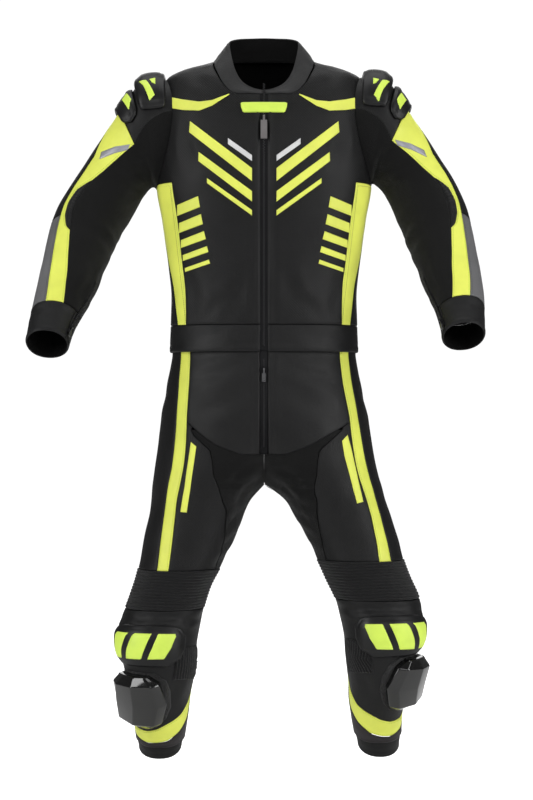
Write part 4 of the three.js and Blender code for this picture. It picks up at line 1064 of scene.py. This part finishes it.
# Sleeves
for key, side in SIDE.items():
    form = sleeve[key]
    region = "sleeve_" + key
    body = {"region": region, "rests": ("back",)}

    def lime_in(at):
        return np.where((at >= RIBS_FROM) & (at <= RIBS_TO), along(RIB_OUT, at), along(SLEEVE_IN, at))

    panel(f"sleeve_cap_{key}_leather", f"sleeve_cap_{key}", form, SLEEVE_ROOT, 40, SLEEVE_IN, SLEEVE_BACK,
          "black leather", sewn="lb", rows=2, space=(body_cut,), keep=off_body, **body)
    panel(f"sleeve_lime_{key}_leather", f"sleeve_lime_{key}", form, SLEEVE_JOIN, WRIST_TOP, lime_in,
          SLEEVE_OUT, "lime leather", cell=4, sewn="lh", thread="lime thread", **body)
    panel(f"sleeve_outer_{key}_leather", f"sleeve_outer_{key}", form, SLEEVE_JOIN, ELBOW, SLEEVE_OUT,
          SLEEVE_BACK, "black leather", sewn="lhb", **body)
    panel(f"forearm_{key}_leather", f"forearm_{key}", form, ELBOW, WRIST_TOP, SLEEVE_OUT, SLEEVE_BACK,
          "grey leather", sewn="lht", **body)
    panel(f"sleeve_stretch_{key}_cloth", f"sleeve_stretch_{key}", form, SLEEVE_ROOT, WRIST_TOP,
          SLEEVE_BACK - 360, SLEEVE_IN, "stretch", sewn="l", space=(body_cut,), keep=off_body, **body)

    def elbow(grid):
        rib = np.abs(np.sin(np.pi * grid.from_top / 6.6)) ** 0.7
        inside = np.clip(np.minimum(grid.from_low, grid.from_high) / 2.5, 0, 1)
        channel = 1 - 0.75 * np.exp(-(((grid.share - 0.5) / 0.06) ** 2))
        return 1.9 * rib * inside * channel

    panel(f"elbow_ribs_{key}_cloth", f"elbow_ribs_{key}", form, RIBS_FROM, RIBS_TO, SLEEVE_IN,
          lambda at: along(RIB_OUT, at) - 0.5, "ribbed", cell=2, cell_down=1.1, relief=elbow, sewn="",
          **body)

    def cuff_edge(grid):
        turned = 0.9 * np.exp(-(((grid.from_end - 6) / 2.6) ** 2))
        return turned - 0.4 * np.exp(-(((grid.from_end - 12) / 2) ** 2))

    panel(f"cuff_{key}_cloth", f"cuff_{key}", form, WRIST_TOP, WRIST_END, -60, 300, "soft leather",
          cell=4, relief=cuff_edge, sewn="tb", roll=1.5, **body)

# Trousers
WAVES = 13
for key, side in SIDE.items():
    form = leg[key]
    region = "leg_" + key
    body = {"region": region, "rests": ("hem_band",)}
    calf = {"region": region, "rests": ("knee_accordion_" + key,)}

    def fly_edge(at):
        inner = column(LEG, "c" + key, at) - ZIP_HALF
        return -angle_at(inner / column(LEG, "a" + key, at), LEG_N)

    def front_out(at):
        return np.where(at < FORK_TOP, along(STRIPE_IN[key], at), along(FORK_IN[key], at))

    def fly_line(at):
        return np.minimum(fly_edge(at), front_out(at) - 1)

    def fly_fold(grid):
        x = np.abs(grid.p[..., 0])
        return 1.5 * np.exp(-(((x - 10.5) / 2.2) ** 2)) + 0.7 * np.exp(-(((x - 24) / 4) ** 2))

    panel(f"trouser_front_{key}_leather", f"trouser_front_{key}", form, WAIST, FORK_END, fly_line,
          front_out, "black leather", relief=fly_fold, sewn="h", rows=2, **body)

    def fork_in(at):
        return np.where(at < CROTCH_END, form.centre(at) - FLANGE, along(FORK_BACK, at))

    def fork_edge(at):
        return np.where(at < FORK_END, along(FORK_IN[key], at), along(FORK_MIDDLE, at))

    panel(f"crotch_{key}_cloth", f"crotch_{key}", form, CROTCH_TOP, RIB_TOP, fork_in,
          lambda at: along(FORK_OUT[key], at) - 0.4, "stretch", sewn="", roll=0, **body,
          step={"at": FORK_END, "side": "above", "low": fork_edge})

    def thigh_in(at):
        return np.where(at < 676, along(FORK_IN[key], at), along(FORK_OUT[key], at))

    panel(f"thigh_front_{key}_leather", f"thigh_front_{key}", form, FORK_TOP, RIB_TOP, thigh_in,
          STRIPE_IN[key], "punched leather", sewn="lhb", **body)
    panel(f"leg_stripe_{key}_leather", f"leg_stripe_{key}", form, WAIST, RIB_TOP, STRIPE_IN[key],
          STRIPE_OUT[key], "lime leather", cell=4, sewn="lh", thread="lime thread", **body)

    def back_in(at):
        middle = 180 + FLANGE - form.centre(at)
        return np.where(at < CROTCH_END, middle, 360 + along(FORK_BACK, at))

    panel(f"trouser_back_{key}_leather", f"trouser_back_{key}", form, WAIST, RIB_TOP, STRIPE_OUT[key],
          back_in, "black leather", cell=6, sewn="lhb", **body)

    def accordion(grid):
        share = (grid.at - RIB_TOP) / (RIB_END - RIB_TOP)
        rib = np.abs(np.sin(np.pi * WAVES * (share + 0.004 * np.sin(grid.phi / 14)))) ** 0.65
        return 2.3 * rib * np.clip(np.minimum(grid.from_low, grid.from_high) / 4, 0, 1) - 0.3

    panel(f"knee_accordion_{key}_cloth", f"knee_accordion_{key}", form, RIB_TOP, RIB_END, -92, 94,
          "ribbed", cell=5, cell_down=0.95, relief=accordion, sewn="", region=region,
          rests=("thigh_front_" + key,))
    panel(f"calf_{key}_leather", f"calf_{key}", form, RIB_TOP, CUFF_TOP, 94, 268, "black leather",
          cell=6, sewn="lh", region=region, rests=("trouser_back_" + key,))
    panel(f"leg_cuff_{key}_cloth", f"leg_cuff_{key}", form, CUFF_TOP - 5, LEG_END, -180, 180, "soft leather",
          cell=4, sewn="", roll=1.5, lift=-2.3, relief=cuff_edge, region=region, rests=("shin_" + key,))


def hoop(name, node_name, form, upper, lower, outer, *, cell=5.0, sewn="tb", rows=1, thread="black thread",
         region="suit", relief=None):
    """A panel that runs round a limb between an upper and a lower seam"""
    first, last = -91, 93
    probe = np.linspace(first, last, 40)
    tall = (along(lower, probe) - along(upper, probe)).max()
    round_limb = arcs(form.point(probe, along(upper, probe))[None], 1)[0, -1]
    phi = first + 0.6 + (last - first - 1.2) * spread(round_limb, cell)
    down = spread(tall, cell)
    top, end = along(upper, phi) + 0.35, along(lower, phi) - 0.35
    at = top + (end - top) * down[:, None]
    phi = np.repeat(phi[None], len(down), 0)
    base = form.point(phi, at)
    from_top, from_side = arcs(base, 0), arcs(base, 1)
    from_end, from_far = from_top[-1:] - from_top, from_side[:, -1:] - from_side
    nearest = np.minimum.reduce([from_top, from_end, from_side, from_far])
    height = fold_height(form, base) - 1.1 * np.clip(1 - nearest / 2.8, 0, 1) ** 2
    if relief is not None:
        height = height + relief(phi, at)
    normals = outward(form, phi, at)
    points = base + normals * height[..., None]
    flat = np.stack([from_side, from_top], -1)
    piece = finished(name, sheet_mesh(name, points, normals, flat), [outer, "lining"], node_name)
    thicken(piece, LEATHER)
    for side in sewn:
        gone = {"t": from_top, "b": from_end}[side]
        for k in range(rows):
            lay_thread(edge_line(points, gone, 3 + 2.6 * k, 0), edge_line(normals, gone, 3 + 2.6 * k, 0),
                       thread, region)
    across, down_ = np.diff(points, axis=1)[:-1], np.diff(points, axis=0)[:, :-1]
    area = np.linalg.norm(np.cross(across, down_), axis=-1).sum()
    width, length = from_side[:, -1].max(), from_top[-1].max()
    area = min(max(area, 0.31 * width * length), width * length)


for key in SIDE:
    form = leg[key]
    region = "leg_" + key
    hoop(f"knee_panel_{key}_leather", f"knee_panel_{key}", form, RIB_END, BAND_UPPER, "black leather",
         region=region)
    hoop(f"shin_band_{key}_leather", f"shin_band_{key}", form, BAND_UPPER, BAND_LOWER, "lime leather",
         cell=4, thread="lime thread", region=region)
    hoop(f"shin_{key}_leather", f"shin_{key}", form, BAND_LOWER, CUFF_TOP, "ash leather",
         region=region)


# Armour
class Dome:
    """The raised skin of a shell, with its shares in hundredths in place of angle and distance"""

    def __init__(self, surface):
        self.surface = surface

    def point(self, phi, at):
        return self.surface(at / 100, phi / 100)[0]


def shell(name, node_name, form, outline, crown, rim, lift, outer, *, power=4, groove=(), inserts=(),
          cell=3.0, front=False):
    """A domed shell on a form, with a raised lip, sunk channels and flush inserts of another colour.
    Corners of an insert are shares, down it and then across it, or places in the front picture"""
    rows = [r[0] for r in outline]
    low, high = [(r[0], r[1]) for r in outline], [(r[0], r[2]) for r in outline]

    def surface(v, u, extra=0.0):
        at = rows[0] + (rows[-1] - rows[0]) * v
        phi = along(low, at) + (along(high, at) - along(low, at)) * u
        dome = (1 - np.abs(2 * u - 1) ** power) * (1 - np.abs(2 * v - 1) ** power)
        p = form.point(phi, at)
        n = outward(form, phi, at)
        return p + n * (lift + rim + (crown - rim) * dome + extra)[..., None], n

    down = spread(rows[-1] - rows[0], cell)
    wide = max(np.linalg.norm(form.point(r[2], r[0]) - form.point(r[1], r[0])) * 1.2 for r in outline)
    across = spread(wide, cell)
    v, u = np.meshgrid(down, across, indexing="ij")
    tall = rows[-1] - rows[0]
    near = np.minimum(np.minimum(u, 1 - u) * wide, np.minimum(v, 1 - v) * tall)
    lip = 1.0 * np.exp(-(((near - 3.2) / 1.6) ** 2)) - 0.9 * np.exp(-(((near - 6.6) / 1.4) ** 2))
    lip = lip - 1.3 * np.clip(1 - near / 2, 0, 1) ** 2
    for (v0, u0), (v1, u1), width, depth in groove:
        run = np.array([(v1 - v0) * tall, (u1 - u0) * wide])
        off = np.stack([(v - v0) * tall, (u - u0) * wide], -1)
        t = np.clip(off @ run / (run @ run), 0, 1)
        lip = lip - depth * np.exp(-((np.linalg.norm(off - t[..., None] * run, axis=-1) / width) ** 2))
    points, normals = surface(v, u, lip)
    flat = np.stack([u * wide, v * tall], -1)
    piece = finished(name, sheet_mesh(name, points, normals, flat), [outer], node_name)
    thicken(piece, rim, lining=False)
    for k, corners in enumerate(inserts):
        c = np.array(corners, float)
        if front:
            across, down = seen(Dome(surface), c[:, 0], c[:, 1], 20.0, 50.0)
            c = np.stack([down, across], -1) / 100
        s, t = np.meshgrid(np.linspace(0, 1, 15), np.linspace(0, 1, 15), indexing="ij")
        spot = ((c[0] * (1 - t)[..., None] + c[1] * t[..., None]) * (1 - s)[..., None]
                + (c[3] * (1 - t)[..., None] + c[2] * t[..., None]) * s[..., None])
        edge = np.minimum(np.minimum(s, 1 - s), np.minimum(t, 1 - t))
        raised = 0.9 - 1.3 * np.clip(1 - edge * 9, 0, 1) ** 2
        points, normals = surface(spot[..., 0], spot[..., 1], raised)
        flat = np.stack([spot[..., 1] * wide, spot[..., 0] * tall], -1)
        part = finished(f"{name}_insert_{k + 1}", sheet_mesh(name, points, normals, flat), ["lime rubber"])
        thicken(part, 1.6, lining=False)
    return piece


def on_side(key, places):
    """Places in the front picture on the right, mirrored for the left"""
    return [(MIRROR - x, y) if key == "L" else (x, y) for x, y in places]


SHOULDER_INSERTS = {
    "upper": [
        [(138.5, 81.5), (146, 79.5), (155, 95), (149.5, 101.5)],
        [(149, 79), (155.5, 77.5), (155.3, 84), (152, 82.5)],
    ],
    "lower": [[(121.5, 100), (127, 92.5), (132, 99), (128.5, 110)]],
}
for key in SIDE:
    arm, limb = sleeve[key], leg[key]
    shell(f"shoulder_upper_{key}_shell", f"shoulder_upper_{key}", arm, SHOULDER_UPPER, 10, 3, 2.2, "armour",
          power=6, front=True, inserts=[on_side(key, corners) for corners in SHOULDER_INSERTS["upper"]])
    shell(f"shoulder_lower_{key}_shell", f"shoulder_lower_{key}", arm, SHOULDER_LOWER, 9, 3, 1.3, "armour",
          power=6, front=True, inserts=[on_side(key, corners) for corners in SHOULDER_INSERTS["lower"]])
    shell(f"knee_cup_{key}_shell", f"knee_cup_{key}", limb, KNEE_CUP, 11, 2.5, 2.2, "armour",
          inserts=[((0.2, 0.12), (0.2, 0.32), (0.82, 0.42), (0.82, 0.22)),
                   ((0.2, 0.38), (0.2, 0.58), (0.82, 0.68), (0.82, 0.48)),
                   ((0.2, 0.64), (0.2, 0.84), (0.82, 0.86), (0.82, 0.74))])


def slider(key):
    """Hard block on the outer side of the knee: flat faces, bevelled edges and steep walls"""
    form, outline = leg[key], PUCK[key]
    low, high = [(r[0], r[1]) for r in outline], [(r[0], r[2]) for r in outline]
    edges = np.array([0, 0, 0.13, 0.5, 0.87, 1, 1])
    v, u = np.meshgrid(edges, np.array([0, 0, 0.13, 0.4, 0.68, 0.88, 1, 1]), indexing="ij")
    height = np.full(v.shape, 26.0)
    height[2:-2, 3:-3] = 31.2
    for ring, tall in ((1, 15), (0, 1.2)):
        height[ring], height[-1 - ring], height[:, ring], height[:, -1 - ring] = (tall,) * 4
    at = outline[0][0] + (outline[-1][0] - outline[0][0]) * v
    phi = along(low, at) + (along(high, at) - along(low, at)) * u
    normals = outward(form, phi, at)
    points = form.point(phi, at) + normals * height[..., None]
    name = f"knee_slider_{key}_block"
    mesh = sheet_mesh(name, points, normals)
    bm = bmesh.new()
    bm.from_mesh(mesh)
    inner = [edge for edge in bm.edges if not edge.is_boundary]
    bmesh.ops.bevel(bm, geom=inner, offset=0.0022, segments=3, affect="EDGES", profile=0.5,
                    material=-1)
    bm.to_mesh(mesh)
    bm.free()
    piece = finished(name, mesh, ["gloss"], f"knee_slider_{key}")
    thicken(piece, 3, lining=False)
    mesh.set_sharp_from_angle(angle=math.radians(35))
    pad = [((at - 3, low - 9), (at - 3, high + 4)) for at, low, high in outline]
    pad[-1] = tuple((at + 7, phi) for at, phi in pad[-1])
    patch(f"slider_loop_{key}", form, pad, "loop", front=False)


for key in SIDE:
    slider(key)


# Zips
def front_zip():
    form = whole_body
    at = np.arange(21.0, 533.0, 3.0)
    phi_edge = zip_edge(at)
    share = np.linspace(-1, 1, 9)
    phi = phi_edge[:, None] * share
    base, normals = cloth(form, phi, at[:, None] + 0 * phi, -1.0)
    flat = np.stack([share * 7 + 0 * phi, at[:, None] + 0 * phi], -1)
    mesh = sheet_mesh("front_zip_tape", base, normals, flat)
    tape = finished("front_zip_tape", mesh, ["zip tape"], "front_zip")
    thicken(tape, 1.2, lining=False)
    trim(tape, neck_cut)


front_zip()


def teeth(name, line, out, across, pitch=2.4, wide=2.6):
    """Two rows of zip teeth, left and right in turn, along a line"""
    gone = arcs(line[None], 1)[0]
    spots = np.arange(pitch, gone[-1] - pitch, pitch)
    places = []
    for i, s in enumerate(spots):
        spot, away, aside = (
            np.array([np.interp(s, gone, rows[:, k]) for k in range(3)]) for rows in (line, out, across)
        )
        places.append((spot + aside * wide * (0.35 if i % 2 else -0.35) + away * 0.27 * wide,
                       aside * wide, away * 0.58 * wide, np.cross(aside, away) * pitch * 0.62))
    bm = bmesh.new()
    bmesh.ops.create_cube(bm, size=1)
    bmesh.ops.bevel(bm, geom=list(bm.edges), offset=0.18, segments=1, affect="EDGES", profile=0.5,
                    material=-1)
    copy_shapes(name, bm, places, "zip coil")


def copy_shapes(name, bm, places, finish, body="suit"):
    """Many copies of one small shape: each has a place and three axes that carry its size"""
    bmesh.ops.triangulate(bm, faces=bm.faces)
    bm.verts.ensure_lookup_table()
    verts = np.array([v.co for v in bm.verts])
    faces = np.array([[v.index for v in f.verts] for f in bm.faces])
    bm.free()
    places = np.array([[p, x, y, z] for p, x, y, z in places])
    points = np.einsum("vk,nkc->nvc", verts, places[:, 1:]) + places[:, :1]
    turned = np.linalg.det(places[:, 1:]) < 0
    index = faces[None] + len(verts) * np.arange(len(places))[:, None, None]
    index[turned] = index[turned][..., ::-1]
    mesh = bpy.data.meshes.new(name)
    mesh.from_pydata((points.reshape(-1, 3) * MM).tolist(), [], index.reshape(-1, 3).tolist())
    mesh.uv_layers.new(name="cloth")
    return finished(name, mesh, [finish], body=body)


centre_at = np.arange(34.0, 530.0, 4.0)
line, _ = cloth(whole_body, 0 * centre_at, centre_at, -1.0)
to_front, to_left = 0 * line + [0, -1.0, 0], 0 * line + [1.0, 0, 0]
teeth("front_zip_teeth", line, to_front, to_left)
fly_at = np.arange(540.0, 716.0, 4.0)
line = leg["L"].point(leg["L"].centre(fly_at), fly_at) * [0, 1, 1] - [0, 0.2, 0]
to_front, to_left = 0 * line + [0, -1.0, 0], 0 * line + [1.0, 0, 0]
teeth("fly_zip_teeth", line, to_front, to_left, 1.8, 1.9)
for key in SIDE:
    cuff_at = np.arange(356.0, 484.0, 3.0)
    cuff_phi = along(CUFF_ZIP, cuff_at)
    line, out = cloth(sleeve[key], cuff_phi, cuff_at, 1.3)
    run = np.gradient(line, axis=0)
    run /= np.linalg.norm(run, axis=-1, keepdims=True)
    teeth(f"cuff_zip_{key}_teeth", line, out, np.cross(run, out), 1.8, 1.7)


# Pieces sewn on the panels
CHEST = {
    "shoulder_flash": [((164, 107), (167.5, 96.5)), ((183, 110), (183, 99.5)), ((199, 110.5), (199, 101.5)),
                       ((212, 105.5), (212, 100)), ((229.5, 94.4), (229, 93.6))],
    "chevron_upper": [((190, 121), (189, 132)), ((252, 168), (252, 181))],
    "chevron_middle": [((199, 152), (198.5, 161)), ((252, 191), (252, 201.5))],
    "chevron_lower": [((207, 178), (207, 183)), ((252, 210), (252, 215.5))],
    "flank_slash_1": [((177, 205), (177, 216)), ((198, 196), (200, 207))],
    "flank_slash_2": [((179, 223), (179, 233)), ((201, 214), (203, 224))],
    "flank_slash_3": [((181, 240), (181, 248)), ((204, 231), (206, 239))],
    "flank_slash_4": [((183, 255), (183, 261)), ((207, 246), (208.5, 252))],
    "flank_slash_5": [((185, 268), (185, 272)), ((209, 259.5), (210, 263.5))],
}
WHITE_BARS = {
    "chest_bar_upper": [((228, 138), (228, 144)), ((252, 155), (252, 161))],
}
for name, stations in {**CHEST, **WHITE_BARS}.items():
    kind = "white leather" if name in WHITE_BARS else "lime leather"
    for key in SIDE:
        patch(f"{name}_{key}", torso[key], [on_side(key, pair) for pair in stations], kind, guess=35)

THIGH = {
    "R": [((191, 442), (196.3, 446.5)), ((180.5, 512), (186.6, 512.7))],
    "L": [((342, 441), (347.5, 435)), ((344.5, 456), (351.5, 450)), ((357, 503.5), (363, 502))],
}
ARM_TAPE = {
    "R": [((129.8, 144.2), (127.8, 149.8)), ((115.5, 146.7), (114.5, 153.4)),
          ((101.5, 152.2), (99.5, 159.3))],
    "L": [((395, 139.5), (397.5, 145.5)), ((410, 143.5), (412, 150)),
          ((424, 150), (427, 157))],
}
KNEE_RIBS = {
    "R": [((176, 650), (196.5, 645)), ((174.5, 666), (196.5, 664)), ((172.5, 680), (193.5, 679))],
    "L": [((346, 638), (366, 644)), ((346.5, 657), (372, 660)), ((350, 673), (374, 673))],
}


def upright_ribs(across):
    return 2.2 * np.abs(np.sin(np.pi * across / 6.2)) ** 0.7


for key in SIDE:
    patch(f"thigh_stripe_{key}", leg[key], THIGH[key], "lime leather", guess=25)
    patch(f"arm_tape_{key}", sleeve[key], ARM_TAPE[key], "tape", guess=50)
    patch(f"knee_ribs_{key}", leg[key], KNEE_RIBS[key], "ribbed", guess=-40, cell=1.1, relief=upright_ribs)

FLY_FOOT = [((265.6, 450), (278, 449.5)), ((265.6, 465.5), (277.5, 465))]
patch("fly_foot_patch", leg["L"], FLY_FOOT, "black leather", guess=-60, thread="black thread")
panel_tab = shell("chest_tab_pad", "chest_tab", whole_body, TAB, 5, 2, 0.15, "lime rubber", cell=2.5)


# Stitches
def sew():
    for (kind, region), lines in THREADS.items():
        places = []
        for points, normals, keep in lines:
            gone = arcs(points[None], 1)[0]
            spots = np.arange(2.0, gone[-1] - 1, 3.8)
            if len(spots) < 2:
                continue
            at = np.stack([np.interp(spots, gone, points[:, k]) for k in range(3)], -1)
            out = np.stack([np.interp(spots, gone, normals[:, k]) for k in range(3)], -1)
            run = np.gradient(at, axis=0)
            for p, n, r in zip(at, out, run):
                length = np.linalg.norm(r)
                if length < 0.5 or length > 12 or (keep and not keep(p)):
                    continue
                r = r / length
                places.append((p + n * 0.12, r * 1.35, n * 0.35, np.cross(r, n) * 0.42))
        if not places:
            continue
        bm = bmesh.new()
        bmesh.ops.create_uvsphere(bm, u_segments=6, v_segments=3, radius=1,
                                  matrix=Matrix.Rotation(math.radians(90), 4, "Y"))
        copy_shapes(f"stitches_{region}_{kind.split()[0]}", bm, places, kind)


sew()

for hidden in (neck_cut, body_cut, *arm_cut.values()):
    bpy.data.objects.remove(hidden)

# CAD nodes that stay in view get their finish
for name, kind in (("front_zip_pull", "rubber"), ("fly_zip_pull", "metal"), ("fly_zip", "zip tape"),
                   ("cuff_zip_R", "zip tape"), ("cuff_zip_L", "zip tape"), ("cuff_zip_R_pull", "metal"),
                   ("cuff_zip_L_pull", "metal")):
    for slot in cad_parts[name].material_slots:
        slot.material = FINISH[kind]


# Stage, light and camera
def pale_to_camera(tree, socket, dim, bright):
    """Sets a strength that is bright where it is looked at and dim where it lights the suit"""
    ray = tree.nodes.new("ShaderNodeLightPath")
    level = tree.nodes.new("ShaderNodeMapRange")
    level.inputs["To Min"].default_value = dim
    level.inputs["To Max"].default_value = bright
    tree.links.new(ray.outputs["Is Camera Ray"], level.inputs["Value"])
    tree.links.new(level.outputs["Result"], socket)


def stage():
    bm = bmesh.new()
    bmesh.ops.create_grid(bm, x_segments=1, y_segments=1, size=6)
    mesh = bpy.data.meshes.new("floor")
    bm.to_mesh(mesh)
    bm.free()
    for v in mesh.vertices:
        v.co.z = -1.31
    floor = bpy.data.objects.new("floor", mesh)
    bpy.context.collection.objects.link(floor)
    paint, nodes, links, base = shader("pale_floor", (0.9, 0.9, 0.9), 0.8)
    base.inputs["Emission Color"].default_value = (1, 1, 1, 1)
    pale_to_camera(paint.node_tree, base.inputs["Emission Strength"], 0.1, 1.0)
    mesh.materials.append(paint)

    world = bpy.data.worlds.new("studio")
    bpy.context.scene.world = world
    world.use_nodes = True
    tree = world.node_tree
    back = tree.nodes["Background"]
    back.inputs["Color"].default_value = (1, 1, 1, 1)
    pale_to_camera(tree, back.inputs["Strength"], 0.1, 1.05)

    def soft_box(name, place, target, size, power):
        light = bpy.data.lights.new(name, "AREA")
        light.shape = "RECTANGLE"
        light.size, light.size_y = size
        light.energy = power
        lamp = bpy.data.objects.new(name, light)
        lamp.location = place
        lamp.rotation_mode = "QUATERNION"
        lamp.rotation_quaternion = (Vector(target) - Vector(place)).to_track_quat("-Z", "Y")
        bpy.context.collection.objects.link(lamp)

    middle = (0, 0, -0.6)
    soft_box("left_box", (-2.3, -1.6, 0.3), middle, (0.9, 2.2), 36)
    soft_box("right_box", (2.3, -1.5, 0.2), middle, (0.9, 2.2), 38)
    soft_box("front_box", (0.3, -3.4, 0.9), middle, (2.0, 1.4), 20)
    soft_box("top_box", (0, 0.2, 1.6), middle, (2.4, 1.6), 18)
    soft_box("back_box", (0, 2.6, 0.6), middle, (2.4, 2.0), 24)


stage()
lens = bpy.data.cameras.new("camera")
lens.lens = 94.7
lens.sensor_width = 36
lens.sensor_fit = "AUTO"
camera = bpy.data.objects.new("camera", lens)
camera.location = (0.00475, -4.0, -0.6232)
camera.rotation_euler = (math.radians(90), 0, 0)
bpy.context.collection.objects.link(camera)
bpy.context.scene.camera = camera
bpy.context.scene.view_settings.view_transform = "Standard"
